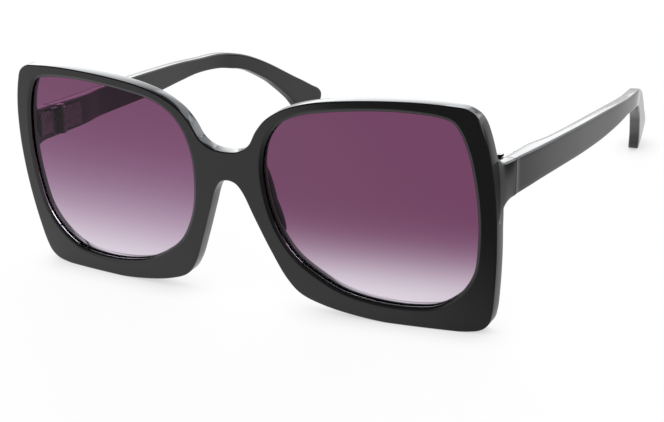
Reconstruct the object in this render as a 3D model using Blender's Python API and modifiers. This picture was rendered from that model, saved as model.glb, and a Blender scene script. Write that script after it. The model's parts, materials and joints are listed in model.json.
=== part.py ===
"""Oversized square sunglasses with two folding temples, modelled piece by piece.

Units are metres, +Z is up. The front faces -Y, the temples reach back along +Y, and +X is the
wearer's left. The pair stands as it is put down open: on the lower edges of both rims and on
both temple tips. The origin is the middle of its footprint. Left-hand pieces are modelled, and
right-hand pieces are their mirror images.
"""
import math

import bmesh
import bpy
import numpy as np
from mathutils import Matrix

# Gap kept between pieces that touch, and the distance at which vertices count as one
GAP = 0.0003
MERGE_DISTANCE = 0.000006

# Front, seen from before the face
LENS_WIDTH = 0.0582
LENS_HEIGHT = 0.0541
BRIDGE_WIDTH = 0.0206
SIDE_RIM_WIDTH = 0.0037
TOP_RIM_HEIGHT = 0.0028
BOTTOM_RIM_HEIGHT = 0.0046
HALF_BRIDGE = BRIDGE_WIDTH / 2
HALF_WIDTH = HALF_BRIDGE + LENS_WIDTH + SIDE_RIM_WIDTH
FRONT_HEIGHT = BOTTOM_RIM_HEIGHT + LENS_HEIGHT + TOP_RIM_HEIGHT

# Curve of the front face: it wraps back towards the temples, is crowned, and leans forwards
WRAP_SAG = 0.0053
WRAP_SQUARE_SHARE = 0.71
CROWN_SAG = 0.0014
CROWN_CENTRE_SHARE = 0.455
LEAN_DEG = 3.5

# Depth of the rims from front to back, and the rounding of their edges
RIM_DEPTH = 0.0046
TOP_RIM_DEPTH = 0.0037
OUTER_TOP_DEPTH = 0.0033
TOP_DEPTH_FADE_SHARES = (0.40, 0.76)
DEPTH_GROWTH_HEIGHT = 0.005
EDGE_RADIUS = 0.00035
EDGE_SOFT_SHARE = 0.3

# Slope of the outer wall: it leans away from the nose, and flares out to meet the end piece
NOSE_SPLAY = 0.05
NOSE_SPLAY_FADE_SHARES = (1.3, 2.0)
END_FLARE = 0.07
END_FLARE_SIDE_SHARES = (0.89, 0.96)
END_FLARE_RISE_SHARES = (0.45, 0.60)
END_FLARE_FALL_SHARES = (0.66, 0.80)

# Outline of one half, as (share of half the bridge, share of the height) near the nose and
# (share of the width from the opening's inner side to the outer edge, share of the height) beyond
BRIDGE_TOP_SHARES = ((0.0, 0.715), (0.41, 0.724), (0.72, 0.758), (0.95, 0.821))
RIM_OUTLINE_SHARES = (
    (0.040, 0.876), (0.124, 0.927), (0.238, 0.963), (0.431, 0.989), (0.674, 1.0),
    (0.835, 0.993), (0.897, 0.984), (0.936, 0.958), (0.958, 0.907), (0.985, 0.795),
    (1.0, 0.650), (1.003, 0.520), (0.996, 0.358), (0.978, 0.187), (0.963, 0.096),
    (0.946, 0.048), (0.914, 0.018), (0.860, 0.004), (0.738, -0.003), (0.593, -0.004),
    (0.399, 0.010), (0.221, 0.044), (0.121, 0.086), (0.066, 0.150))
NOSE_SIDE_SHARES = ((1.02, 0.283), (0.64, 0.439), (0.40, 0.538), (0.22, 0.575), (0.0, 0.585))

# Lens opening, as (share of the lens width from its nose side, share of its height)
OPENING_SHARES = (
    (0.000, 0.600), (0.006, 0.705), (0.036, 0.806), (0.095, 0.887), (0.194, 0.943),
    (0.364, 0.978), (0.596, 1.0), (0.751, 0.998), (0.854, 0.985), (0.905, 0.963),
    (0.936, 0.920), (0.966, 0.835), (0.988, 0.710), (1.0, 0.543), (0.993, 0.384),
    (0.969, 0.233), (0.916, 0.132), (0.850, 0.065), (0.775, 0.020), (0.665, 0.001),
    (0.562, 0.000), (0.450, 0.013), (0.338, 0.044), (0.235, 0.104), (0.132, 0.190),
    (0.064, 0.301), (0.022, 0.423))
STEPS_PER_POINT = 3
CLOSING_POINTS = 4
BISECT_OVERRUN = 0.002
LENS_CENTRE_SHARES = (0.49, 0.50)

# How far the opening's front edge is let out from that outline: at its top, nose side and far side
LET_OUT_TOP = 0.0008
LET_OUT_NOSE = 0.00045
LET_OUT_SIDE = 0.00015

# Lens, its bevelled surround, its groove, and the bevel behind it
LENS_THICKNESS = 0.0014
LIP_INSET = 0.00085
LIP_BOTTOM_INSET = 0.0012
LIP_FRONT_DEPTH = 0.0005
LIP_THICKNESS = 0.00025
REAR_LIP_THICKNESS = 0.0003
REAR_INSET = 0.0002
REAR_BOTTOM_INSET = 0.0009
LENS_SEAT = 0.0006
LENS_GRID_COLUMNS = 12
LENS_GRID_ROWS = 11
GROOVE_FRONT = LIP_FRONT_DEPTH + LIP_THICKNESS
GROOVE_REAR = GROOVE_FRONT + LENS_THICKNESS + 2 * GAP
LENS_RECESS = GROOVE_FRONT + GAP

# Nose pads, bonded behind the nose sides
PAD_WIDTH = 0.0042
PAD_DEPTH = 0.0028
PAD_EDGE_INSET = 0.0007
PAD_TOP_SHARE = 0.66
PAD_TURN_SHARE = 0.47
PAD_TURN_SLOPE = 0.12
PAD_BOTTOM_SHARE = 0.32
PAD_STATIONS = 11
PAD_DOME_STEPS = 7
PAD_SPLAY = 0.20
PAD_END_SHARE = 0.25

# Hinge: its place, its lean, and its leaves
ARM_DROP_DEG = 6.8
HINGE_X_INSET = 0.0044
HINGE_BACK = 0.0138
HINGE_HEIGHT_SHARE = 0.649
BARREL_RADIUS = 0.0015
BARREL_HEIGHT = 0.0076
KNUCKLES = 3
LEAF_THICKNESS = 0.0012
LEAF_HEIGHT = 0.0064
FRONT_LEAF_LENGTH = 0.0064
TEMPLE_LEAF_LENGTH = 0.0085
STUD_RADIUS = 0.00055
STUD_LENGTH = 0.0016
STUD_SHARES = (0.25, 0.75)
ROUND_SIDES = 20

# Hinge screw
SCREW_RADIUS = 0.0006
SCREW_HEAD_RADIUS = 0.0012
SCREW_HEAD_HEIGHT = 0.0005
SCREW_SLOT_WIDTH = 0.0003
SCREW_SLOT_DEPTH = 0.00025

# End piece that carries the hinge, as stations from its butt face forwards: (share of its length,
# bottom and top as shares of half the temple's height, share of the outer face's slope inwards)
BUTT_SETBACK = 0.0016
END_PIECE_LENGTH = 0.0096
END_PIECE_OUTER_FLARE = 0.0009
END_PIECE_EDGE_RADIUS = 0.0006
END_PIECE_SHARES = (
    (0.0, -1.18, 1.0, 0.0), (0.27, -1.21, 0.98, 0.24), (0.48, -1.32, 0.98, 0.42),
    (0.64, -1.50, 1.04, 0.56), (0.76, -1.80, 1.22, 0.66), (1.0, -2.60, 1.40, 1.60))

# Temple: height and thickness at the hinge, reach behind the hinge axis, and where the tip lands.
# The tip drops from the arm's line to the surface that the pair stands on.
TEMPLE_HEIGHT = 0.0088
TEMPLE_THICKNESS = 0.0034
TEMPLE_REACH = 0.1473
TEMPLE_EDGE_RADIUS = 0.0006
TIP_LANDING_SHARE = 0.8994
HINGE_HEIGHT = FRONT_HEIGHT * HINGE_HEIGHT_SHARE
ARM_FALL = TIP_LANDING_SHARE * TEMPLE_REACH * math.sin(math.radians(ARM_DROP_DEG))
TIP_DROP = (HINGE_HEIGHT - ARM_FALL) / math.cos(math.radians(ARM_DROP_DEG))

# Ribs of the temple, as (top along, top up, bottom along, bottom up): along in shares of the
# reach, up in shares of half the height for the straight arm and of the drop for the tip.
# The butt face comes before them, as (top up, bottom up).
BUTT_RIB_SHARES = (1.0, -1.17)
ARM_RIB_SHARES = (
    (0.04, 1.0, 0.04, -1.10), (0.095, 1.01, 0.095, -1.01), (0.183, 1.04, 0.183, -0.90),
    (0.285, 1.07, 0.285, -0.81), (0.387, 1.09, 0.387, -0.66), (0.482, 1.08, 0.485, -0.36),
    (0.556, 1.01, 0.556, -0.14))
TIP_RIB_SHARES = (
    (0.638, 0.178, 0.639, -0.036), (0.677, 0.152, 0.674, -0.070), (0.715, 0.106, 0.705, -0.103),
    (0.754, 0.031, 0.734, -0.157), (0.792, -0.063, 0.761, -0.232), (0.828, -0.166, 0.788, -0.316),
    (0.863, -0.275, 0.812, -0.402), (0.899, -0.386, 0.835, -0.505), (0.933, -0.485, 0.857, -0.609),
    (0.965, -0.586, 0.879, -0.726), (0.988, -0.656, 0.894, -0.830), (0.996, -0.728, 0.906, -0.917),
    (0.991, -0.818, 0.918, -0.974), (0.971, -0.907, 0.937, -0.973))
STEPS_PER_RIB = 2

# Plan of the temple's outer face, as (share of the reach, share of the flare or the toe-in)
ARM_FLARE = 0.0040
TIP_TOE_IN = 0.0102
TIP_TWIST_SHARE = 0.8
TWIST_RISE_SHARES = (0.55, 0.80)
FLARE_SHARES = ((0.0, 0.0), (0.083, 0.27), (0.166, 0.5), (0.26, 0.72), (0.368, 0.88),
                (0.485, 1.0), (0.553, 0.94))
TOE_SHARES = ((0.629, -0.284), (0.692, -0.100), (0.777, 0.118), (0.924, 0.461),
              (1.044, 0.735), (1.140, 1.0))
FLAT_SEAT_SHARE = 0.075
SEAT_FADE_SHARE = 0.17
TIP_END_RADIUS = 0.0007

# Piece colours, from the photographed finish
BLACK_GLOSS = (0.012, 0.012, 0.012, 1.0)
PLUM_TINT = (0.14, 0.06, 0.11, 1.0)
HINGE_STEEL = (0.42, 0.42, 0.43, 1.0)


def clear_scene():
    """Remove every object that the open file holds."""
    for item in list(bpy.data.objects):
        bpy.data.objects.remove(item, do_unlink=True)


def new_collection(name):
    """Return an empty collection in the scene."""
    collection = bpy.data.collections.new(name)
    bpy.context.scene.collection.children.link(collection)
    return collection


def new_material(name, colour, roughness, metallic):
    """Return a Principled material with one colour."""
    material = bpy.data.materials.new(name)
    material.use_nodes = True
    shader = material.node_tree.nodes["Principled BSDF"]
    shader.inputs["Base Color"].default_value = colour
    shader.inputs["Roughness"].default_value = roughness
    shader.inputs["Metallic"].default_value = metallic
    return material


def catmull_rom(points, steps, closed):
    """Return a centripetal Catmull-Rom curve through the points, steps samples to a span."""
    points = np.asarray(points, float)
    if closed:
        padded = np.vstack([points[-1], points, points[:2]])
    else:
        padded = np.vstack([2 * points[0] - points[1], points, 2 * points[-1] - points[-2]])
    samples = []
    for before, start, end, after in zip(padded, padded[1:], padded[2:], padded[3:]):
        knot = [0.0]
        for here, there in ((before, start), (start, end), (end, after)):
            knot.append(knot[-1] + math.sqrt(np.linalg.norm(there - here)))
        t = np.linspace(knot[1], knot[2], steps, endpoint=False)[:, None]
        a1 = ((knot[1] - t) * before + t * start) / knot[1]
        a2 = ((knot[2] - t) * start + (t - knot[1]) * end) / (knot[2] - knot[1])
        a3 = ((knot[3] - t) * end + (t - knot[2]) * after) / (knot[3] - knot[2])
        b1 = ((knot[2] - t) * a1 + t * a2) / knot[2]
        b2 = ((knot[3] - t) * a2 + (t - knot[1]) * a3) / (knot[3] - knot[1])
        samples.append(((knot[2] - t) * b1 + (t - knot[1]) * b2) / (knot[2] - knot[1]))
    if not closed:
        samples.append(points[-1:])
    return np.vstack(samples)


def outward_normals(loop):
    """Return the unit normals of a closed loop, pointing away from the area inside it."""
    along = np.roll(loop, -1, axis=0) - np.roll(loop, 1, axis=0)
    normals = np.stack([along[:, 1], -along[:, 0]], axis=1)
    normals /= np.linalg.norm(normals, axis=1)[:, None]
    ahead = np.roll(loop, -1, axis=0)
    area = np.sum(loop[:, 0] * ahead[:, 1] - ahead[:, 0] * loop[:, 1])
    return normals if area > 0 else -normals


def smooth_step(value, low, high):
    """Return 0 below low, 1 above high, and a smooth rise between them."""
    t = np.clip((value - low) / (high - low), 0.0, 1.0)
    return t * t * (3 - 2 * t)


def front_outline_points():
    """Return the corner-to-corner points of one half of the front, from bridge top to nose arch."""
    span = LENS_WIDTH + SIDE_RIM_WIDTH
    top = [(HALF_BRIDGE * x, FRONT_HEIGHT * z) for x, z in BRIDGE_TOP_SHARES]
    rim = [(HALF_BRIDGE + span * x, FRONT_HEIGHT * z) for x, z in RIM_OUTLINE_SHARES]
    nose = [(HALF_BRIDGE * x, FRONT_HEIGHT * z) for x, z in NOSE_SIDE_SHARES]
    return np.array(top + rim + nose)


def half_front_curve():
    """Return the half outline from the middle of the bridge's top to the middle of the nose arch.

    With it come its outward normals. Neighbours mirrored in the middle plane keep both ends level.
    """
    flip = np.array([-1.0, 1.0])
    points = front_outline_points()
    around = np.vstack([points[2:0:-1] * flip, points, points[-2:-4:-1] * flip])
    curve = catmull_rom(around, STEPS_PER_POINT, closed=False)
    along = np.gradient(curve, axis=0)
    normals = np.stack([-along[:, 1], along[:, 0]], axis=1)
    normals /= np.linalg.norm(normals, axis=1)[:, None]
    kept = slice(2 * STEPS_PER_POINT, len(curve) - 2 * STEPS_PER_POINT)
    curve = curve[kept]
    curve[:, 1] = np.maximum(curve[:, 1], 0.0)
    return curve, normals[kept]


def opening_loop():
    """Return the front edge of the left lens opening."""
    points = [(HALF_BRIDGE + LENS_WIDTH * x, BOTTOM_RIM_HEIGHT + LENS_HEIGHT * z)
              for x, z in OPENING_SHARES]
    loop = catmull_rom(points, STEPS_PER_POINT, closed=True)
    out = outward_normals(loop)
    top, nose, side = np.clip([out[:, 1], -out[:, 0], out[:, 0]], 0.0, None)**2
    let_out = LET_OUT_TOP * top + LET_OUT_NOSE * nose + LET_OUT_SIDE * side
    return loop + out * let_out[:, None]


def inset_by_facing(inward, inset, bottom_inset):
    """Return an inset for each place on the opening, which grows where the inside faces up."""
    return inset + (bottom_inset - inset) * np.clip(inward[:, 1:], 0.0, None)**2


def lens_centre():
    """Return the middle of the left lens."""
    return np.array([HALF_BRIDGE + LENS_WIDTH * LENS_CENTRE_SHARES[0],
                     BOTTOM_RIM_HEIGHT + LENS_HEIGHT * LENS_CENTRE_SHARES[1]])


def match_by_angle(loop, guide):
    """Return, for each guide point, the loop's point in the same direction from the lens centre."""
    centre = lens_centre()
    spoke = loop - centre
    angle = np.arctan2(spoke[:, 1], spoke[:, 0])
    reach = np.hypot(spoke[:, 0], spoke[:, 1])
    wanted = guide - centre
    direction = np.arctan2(wanted[:, 1], wanted[:, 0])
    radius = np.interp(direction, *sort_pairs(angle, reach), period=2 * math.pi)
    return centre + radius[:, None] * np.stack([np.cos(direction), np.sin(direction)], axis=1)


def sort_pairs(keys, values):
    """Return keys and values in rising order of the keys."""
    order = np.argsort(keys)
    return keys[order], values[order]


def face_back(x, z):
    """Return how far behind the plane of the nose the front face lies."""
    across = x / HALF_WIDTH
    up = (z - CROWN_CENTRE_SHARE * FRONT_HEIGHT) / (FRONT_HEIGHT / 2)
    wrap = WRAP_SAG * (WRAP_SQUARE_SHARE * across**2 + (1 - WRAP_SQUARE_SHARE) * across**4)
    lean = math.tan(math.radians(LEAN_DEG)) * (z - CROWN_CENTRE_SHARE * FRONT_HEIGHT)
    return wrap + CROWN_SAG * up**2 - lean


def rim_depth(x, z):
    """Return the rim's depth: slim along the top edge, full a little way below it."""
    points = front_outline_points()
    upper = points[:int(np.argmax(points[:, 1])) + 3]
    top = np.interp(np.abs(x), upper[:, 0], upper[:, 1])
    fade_start, fade_end = (HALF_WIDTH * share for share in TOP_DEPTH_FADE_SHARES)
    slim = TOP_RIM_DEPTH + (OUTER_TOP_DEPTH - TOP_RIM_DEPTH) * smooth_step(np.abs(x), fade_start,
                                                                          fade_end)
    return slim + (RIM_DEPTH - slim) * smooth_step(top - z, 0.0, DEPTH_GROWTH_HEIGHT)


def wall_lean(x, z):
    """Return how strongly the outer wall leans inwards with depth; it flares where negative."""
    near = 1 - smooth_step(np.abs(x), HALF_BRIDGE * NOSE_SPLAY_FADE_SHARES[0],
                           HALF_BRIDGE * NOSE_SPLAY_FADE_SHARES[1])
    arch = FRONT_HEIGHT * NOSE_SIDE_SHARES[-1][1]
    below = 1 - smooth_step(z, arch, arch + DEPTH_GROWTH_HEIGHT)
    far, wide = (HALF_WIDTH * share for share in END_FLARE_SIDE_SHARES)
    low, high = (FRONT_HEIGHT * share for share in END_FLARE_RISE_SHARES)
    falling, gone = (FRONT_HEIGHT * share for share in END_FLARE_FALL_SHARES)
    beside = (smooth_step(np.abs(x), far, wide) * smooth_step(z, low, high)
              * (1 - smooth_step(z, falling, gone)))
    return NOSE_SPLAY * near * below - END_FLARE * beside


def on_face(loop, depth):
    """Return 3-D points of a front-view loop at a depth behind the front face."""
    return np.stack([loop[:, 0], face_back(loop[:, 0], loop[:, 1]) + depth, loop[:, 1]], axis=1)


def skin(name, rings, close_rings=False):
    """Return a mesh over rings of points; open ends get caps unless the rings close on themselves."""
    count = len(rings[0])
    mesh_data = bmesh.new()
    rows = [[mesh_data.verts.new(point) for point in ring] for ring in rings]
    pairs = list(zip(rows, rows[1:]))
    if close_rings:
        pairs.append((rows[-1], rows[0]))
    for near, far in pairs:
        for i in range(count):
            j = (i + 1) % count
            mesh_data.faces.new((near[i], near[j], far[j], far[i]))
    if not close_rings:
        mesh_data.faces.new(rows[0])
        mesh_data.faces.new(rows[-1])
    bmesh.ops.recalc_face_normals(mesh_data, faces=mesh_data.faces)
    mesh = bpy.data.meshes.new(name)
    mesh_data.to_mesh(mesh)
    mesh_data.free()
    return mesh


def add_object(name, mesh, collection, parent=None):
    """Return a new object that holds the mesh."""
    item = bpy.data.objects.new(name, mesh)
    collection.objects.link(item)
    item.parent = parent
    return item


def hide_cutter(item):
    """Mark an object as a cutter or guide."""
    item.hide_render = True
    item.display_type = "WIRE"


def add_boolean(item, other, operation):
    """Add an exact Boolean with another object."""
    modifier = item.modifiers.new(other.name, "BOOLEAN")
    modifier.operation = operation
    modifier.solver = "EXACT"
    modifier.object = other
    hide_cutter(other)


def finished_mesh(item, name):
    """Return the object's mesh with its modifiers applied, in the object's own axes."""
    graph = bpy.context.evaluated_depsgraph_get()
    mesh = bpy.data.meshes.new_from_object(item.evaluated_get(graph))
    mesh.name = name
    return mesh


def mirrored_mesh(mesh, name):
    """Return the mesh's mirror image in the plane between left and right."""
    copy = mesh.copy()
    copy.name = name
    copy.transform(Matrix.Scale(-1, 4, (1, 0, 0)))
    copy.flip_normals()
    return copy


def shade(item, angle_deg=35.0):
    """Shade smooth, with sharp edges where faces meet at more than the angle."""
    item.data.shade_smooth()
    item.data.set_sharp_from_angle(angle=math.radians(angle_deg))


def add_box(name, low, high, collection, parent=None):
    """Return a box between two corners, from a cube primitive."""
    mesh_data = bmesh.new()
    bmesh.ops.create_cube(mesh_data, size=1)
    low = np.array(low)
    high = np.array(high)
    place = Matrix.Translation((low + high) / 2) @ Matrix.Diagonal((*(high - low), 1))
    bmesh.ops.transform(mesh_data, matrix=place, verts=mesh_data.verts)
    mesh = bpy.data.meshes.new(name)
    mesh_data.to_mesh(mesh)
    mesh_data.free()
    return add_object(name, mesh, collection, parent)


def add_cylinder(name, radius, start, end, collection, parent=None):
    """Return a cylinder between two points, from a cone primitive with equal ends."""
    start = np.array(start)
    end = np.array(end)
    axis = end - start
    length = np.linalg.norm(axis)
    mesh_data = bmesh.new()
    bmesh.ops.create_cone(mesh_data, cap_ends=True, segments=ROUND_SIDES, radius1=radius,
                          radius2=radius, depth=length)
    turn = Matrix.Identity(4) if abs(axis[2]) > abs(axis[0]) else Matrix.Rotation(math.pi / 2, 4, "Y")
    bmesh.ops.transform(mesh_data, matrix=Matrix.Translation((start + end) / 2) @ turn,
                        verts=mesh_data.verts)
    mesh = bpy.data.meshes.new(name)
    mesh_data.to_mesh(mesh)
    mesh_data.free()
    return add_object(name, mesh, collection, parent)


def hinge_point():
    """Return the middle of the left hinge's axis: inside the outer edge and behind the face."""
    x = HALF_WIDTH - HINGE_X_INSET
    return np.array([x, face_back(HALF_WIDTH, HINGE_HEIGHT) + HINGE_BACK, HINGE_HEIGHT])


def outer_face_x():
    """Return the temple's outer face at the hinge, measured from the hinge axis."""
    return HINGE_X_INSET + END_PIECE_OUTER_FLARE


def inner_face_x():
    """Return the flat inner face behind the hinge leaves, measured from the hinge axis."""
    return outer_face_x() - TEMPLE_THICKNESS


def rounded_section(low, high, radius):
    """Return a rounded rectangle between two corners, counter-clockwise."""
    softened = radius * EDGE_SOFT_SHARE
    (x0, z0), (x1, z1) = low, high
    return [(x0 + radius, z0), (x1 - radius, z0), (x1 - softened, z0 + softened),
            (x1, z0 + radius), (x1, z1 - radius), (x1 - softened, z1 - softened),
            (x1 - radius, z1), (x0 + radius, z1), (x0 + softened, z1 - softened),
            (x0, z1 - radius), (x0, z0 + radius), (x0 + softened, z0 + softened)]


def end_piece_mesh():
    """Return the end piece: it narrows from the rim's back to the butt face at the temple."""
    half_height = TEMPLE_HEIGHT / 2
    butt = -BUTT_SETBACK - GAP
    rings = []
    for share, bottom, top, slope in END_PIECE_SHARES:
        along = butt - share * END_PIECE_LENGTH
        outer = outer_face_x() - slope * END_PIECE_OUTER_FLARE
        section = rounded_section((inner_face_x(), bottom * half_height),
                                  (outer, top * half_height), END_PIECE_EDGE_RADIUS)
        rings.append([(x, along, z) for x, z in section])
    return skin("end_piece", rings)


def half_front_mesh():
    """Return one half of the front as a section carried round the lens opening.

    The section runs over the front face, round the outer wall, back over the rear face, and
    returns through the opening: over the rear bevel, down into the lens groove, and up the bevelled
    lip to the face.
    """
    outer, out = half_front_curve()
    closing = np.linspace(outer[-1], outer[0], CLOSING_POINTS + 2)[1:-1]
    opening = match_by_angle(opening_loop(), np.vstack([outer, closing]))
    outer = np.vstack([outer, closing - np.array([BISECT_OVERRUN, 0.0])])
    out = np.vstack([out, np.zeros_like(closing)])
    inward = -outward_normals(opening)
    lip = opening + inward * inset_by_facing(inward, LIP_INSET, LIP_BOTTOM_INSET)
    groove = lip - inward * (LENS_SEAT + GAP)
    rear = opening + inward * inset_by_facing(inward, REAR_INSET, REAR_BOTTOM_INSET)
    radius = EDGE_RADIUS
    soft = radius * EDGE_SOFT_SHARE
    lean = wall_lean(outer[:, 0], outer[:, 1])[:, None]
    depth_out = rim_depth(outer[:, 0], outer[:, 1])
    depth_in = rim_depth(rear[:, 0], rear[:, 1])

    def wall(inset, depth):
        """Return the outer outline drawn in by an inset and by the wall's lean."""
        return on_face(outer - out * (inset + lean * depth[:, None]), depth)

    zero = np.zeros(len(outer))
    rows = [
        on_face(opening, 0.0),
        wall(radius, zero),
        wall(soft, zero + soft),
        wall(0.0, zero + radius),
        wall(0.0, depth_out - radius),
        wall(soft, depth_out - soft),
        wall(radius, depth_out),
        on_face(rear - inward * soft, depth_in),
        on_face(rear, depth_in - soft),
        on_face(lip, GROOVE_REAR + REAR_LIP_THICKNESS),
        on_face(lip, GROOVE_REAR),
        on_face(groove, GROOVE_REAR),
        on_face(groove, GROOVE_FRONT),
        on_face(lip, GROOVE_FRONT),
        on_face(lip, LIP_FRONT_DEPTH),
    ]
    rings = np.stack(rows, axis=1)
    return skin("half_front", rings, close_rings=True)


def add_hinge_frame(side, collection):
    """Return an empty on the hinge axis of one side, leaning with the temple."""
    x, y, z = hinge_point()
    empty = bpy.data.objects.new(f"{side}_hinge_axis", None)
    collection.objects.link(empty)
    empty.location = (x if side == "left" else -x, y, z)
    empty.rotation_euler = (-math.radians(ARM_DROP_DEG), 0, 0)
    return empty


def leaf_direction(leaf):
    """Return -1 for the leaf that reaches forwards to the front, 1 for the temple's leaf."""
    return -1 if leaf == "front" else 1


def stud_places(leaf):
    """Return the places along the arm of a leaf's anchor studs."""
    length = FRONT_LEAF_LENGTH if leaf == "front" else TEMPLE_LEAF_LENGTH
    start = BARREL_RADIUS + GAP
    return [leaf_direction(leaf) * (start + share * length) for share in STUD_SHARES]


def knuckle_spans():
    """Return the bottom and top of each knuckle, from the lowest one up."""
    pitch = (BARREL_HEIGHT + GAP) / KNUCKLES
    bottom = -BARREL_HEIGHT / 2
    return [(bottom + i * pitch, bottom + (i + 1) * pitch - GAP) for i in range(KNUCKLES)]


def hinge_leaf_mesh(leaf, cutters):
    """Return a hinge leaf: plate, necks and knuckles, with anchor studs and the screw's bore."""
    direction = leaf_direction(leaf)
    length = FRONT_LEAF_LENGTH if leaf == "front" else TEMPLE_LEAF_LENGTH
    plate_x = inner_face_x() - GAP - LEAF_THICKNESS
    near = direction * (BARREL_RADIUS + GAP)
    far = near + direction * length
    low = (plate_x, min(near, far), -LEAF_HEIGHT / 2)
    high = (plate_x + LEAF_THICKNESS, max(near, far), LEAF_HEIGHT / 2)
    body = add_box(f"{leaf}_leaf_plate", low, high, cutters)
    first = 0 if leaf == "front" else 1
    for number, (bottom, top) in list(enumerate(knuckle_spans()))[first::2]:
        knuckle = add_cylinder(f"{leaf}_knuckle_{number}", BARREL_RADIUS, (0, 0, bottom),
                               (0, 0, top), cutters)
        overlap = near + direction * LEAF_THICKNESS
        neck = add_box(f"{leaf}_neck_{number}", (plate_x, min(0, overlap), bottom),
                       (plate_x + LEAF_THICKNESS, max(0, overlap), top), cutters)
        add_boolean(body, neck, "UNION")
        add_boolean(body, knuckle, "UNION")
    for number, along in enumerate(stud_places(leaf)):
        root = plate_x + LEAF_THICKNESS / 2
        tip = plate_x + LEAF_THICKNESS + STUD_LENGTH
        stud = add_cylinder(f"{leaf}_stud_{number}", STUD_RADIUS, (root, along, 0),
                            (tip, along, 0), cutters)
        add_boolean(body, stud, "UNION")
    bore = add_cylinder(f"{leaf}_bore", SCREW_RADIUS + GAP, (0, 0, -BARREL_HEIGHT),
                        (0, 0, BARREL_HEIGHT), cutters)
    add_boolean(body, bore, "DIFFERENCE")
    hide_cutter(body)
    return finished_mesh(body, f"{leaf}_hinge_leaf")


def hinge_screw_mesh(cutters):
    """Return the hinge screw, turned from a profile, with a slot across its head."""
    top = BARREL_HEIGHT / 2 + GAP + SCREW_HEAD_HEIGHT
    seat = top - SCREW_HEAD_HEIGHT
    bottom = -BARREL_HEIGHT / 2
    profile = [(0, top), (SCREW_HEAD_RADIUS, top), (SCREW_HEAD_RADIUS, seat),
               (SCREW_RADIUS, seat), (SCREW_RADIUS, bottom), (0, bottom)]
    mesh = bpy.data.meshes.new("screw_profile")
    edges = [(i, i + 1) for i in range(len(profile) - 1)]
    mesh.from_pydata([(x, 0, z) for x, z in profile], edges, [])
    body = add_object("screw_blank", mesh, cutters)
    turned = body.modifiers.new("turn", "SCREW")
    turned.axis = "Z"
    turned.steps = ROUND_SIDES
    turned.render_steps = ROUND_SIDES
    turned.use_merge_vertices = True
    turned.merge_threshold = MERGE_DISTANCE
    slot = add_box("screw_slot", (-SCREW_HEAD_RADIUS * 2, -SCREW_SLOT_WIDTH / 2,
                                  top - SCREW_SLOT_DEPTH),
                   (SCREW_HEAD_RADIUS * 2, SCREW_SLOT_WIDTH / 2, top + SCREW_SLOT_DEPTH), cutters)
    add_boolean(body, slot, "DIFFERENCE")
    hide_cutter(body)
    return finished_mesh(body, "hinge_screw")


def add_stud_holes(target, leaf, parent, side, cutters):
    """Cut the blind holes for a leaf's anchor studs into the piece that holds it."""
    sign = 1 if side == "left" else -1
    start = inner_face_x() - LEAF_THICKNESS
    end = inner_face_x() + STUD_LENGTH
    for number, along in enumerate(stud_places(leaf)):
        hole = add_cylinder(f"{side}_{leaf}_hole_{number}", STUD_RADIUS + GAP,
                            (sign * start, along, 0), (sign * end, along, 0), cutters, parent)
        add_boolean(target, hole, "DIFFERENCE")


def add_front(frames, parts, cutters):
    """Return the front: two rims and the bridge in one piece, with an end piece at each side."""
    front = add_object("frame_front", half_front_mesh(), parts)
    mirror = front.modifiers.new("mirror", "MIRROR")
    mirror.use_axis[0] = True
    mirror.use_bisect_axis[0] = True
    mirror.merge_threshold = MERGE_DISTANCE
    mirror.bisect_threshold = MERGE_DISTANCE
    mesh = end_piece_mesh()
    for side, frame in frames.items():
        shape = mesh if side == "left" else mirrored_mesh(mesh, "end_piece_right")
        block = add_object(f"{side}_end_piece", shape, cutters, frame)
        add_boolean(front, block, "UNION")
        add_stud_holes(front, "front", frame, side, cutters)
    return front


def lens_mesh(cutters):
    """Return a lens: a curved sheet with thickness, trimmed to the groove's outline."""
    mesh_data = bmesh.new()
    bmesh.ops.create_grid(mesh_data, x_segments=LENS_GRID_COLUMNS, y_segments=LENS_GRID_ROWS,
                          size=1)
    centre = lens_centre()
    margin = LIP_INSET + SIDE_RIM_WIDTH
    for vertex in mesh_data.verts:
        x = centre[0] + vertex.co.x * (LENS_WIDTH / 2 + margin)
        z = centre[1] + vertex.co.y * (LENS_HEIGHT / 2 + margin)
        vertex.co = (x, face_back(x, z) + LENS_RECESS, z)
    bmesh.ops.recalc_face_normals(mesh_data, faces=mesh_data.faces)
    mesh = bpy.data.meshes.new("lens_sheet")
    mesh_data.to_mesh(mesh)
    mesh_data.free()
    sheet = add_object("lens_sheet", mesh, cutters)
    facing_back = mesh.polygons[0].normal.y > 0
    wall = sheet.modifiers.new("thickness", "SOLIDIFY")
    wall.thickness = LENS_THICKNESS
    wall.offset = 1.0 if facing_back else -1.0
    opening = opening_loop()
    inward = -outward_normals(opening)
    outline = opening + inward * (inset_by_facing(inward, LIP_INSET, LIP_BOTTOM_INSET) - LENS_SEAT)
    plug = add_flat_outline("lens_outline", outline, HALF_WIDTH, cutters)
    add_boolean(sheet, plug, "INTERSECT")
    hide_cutter(sheet)
    return finished_mesh(sheet, "lens")


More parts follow.
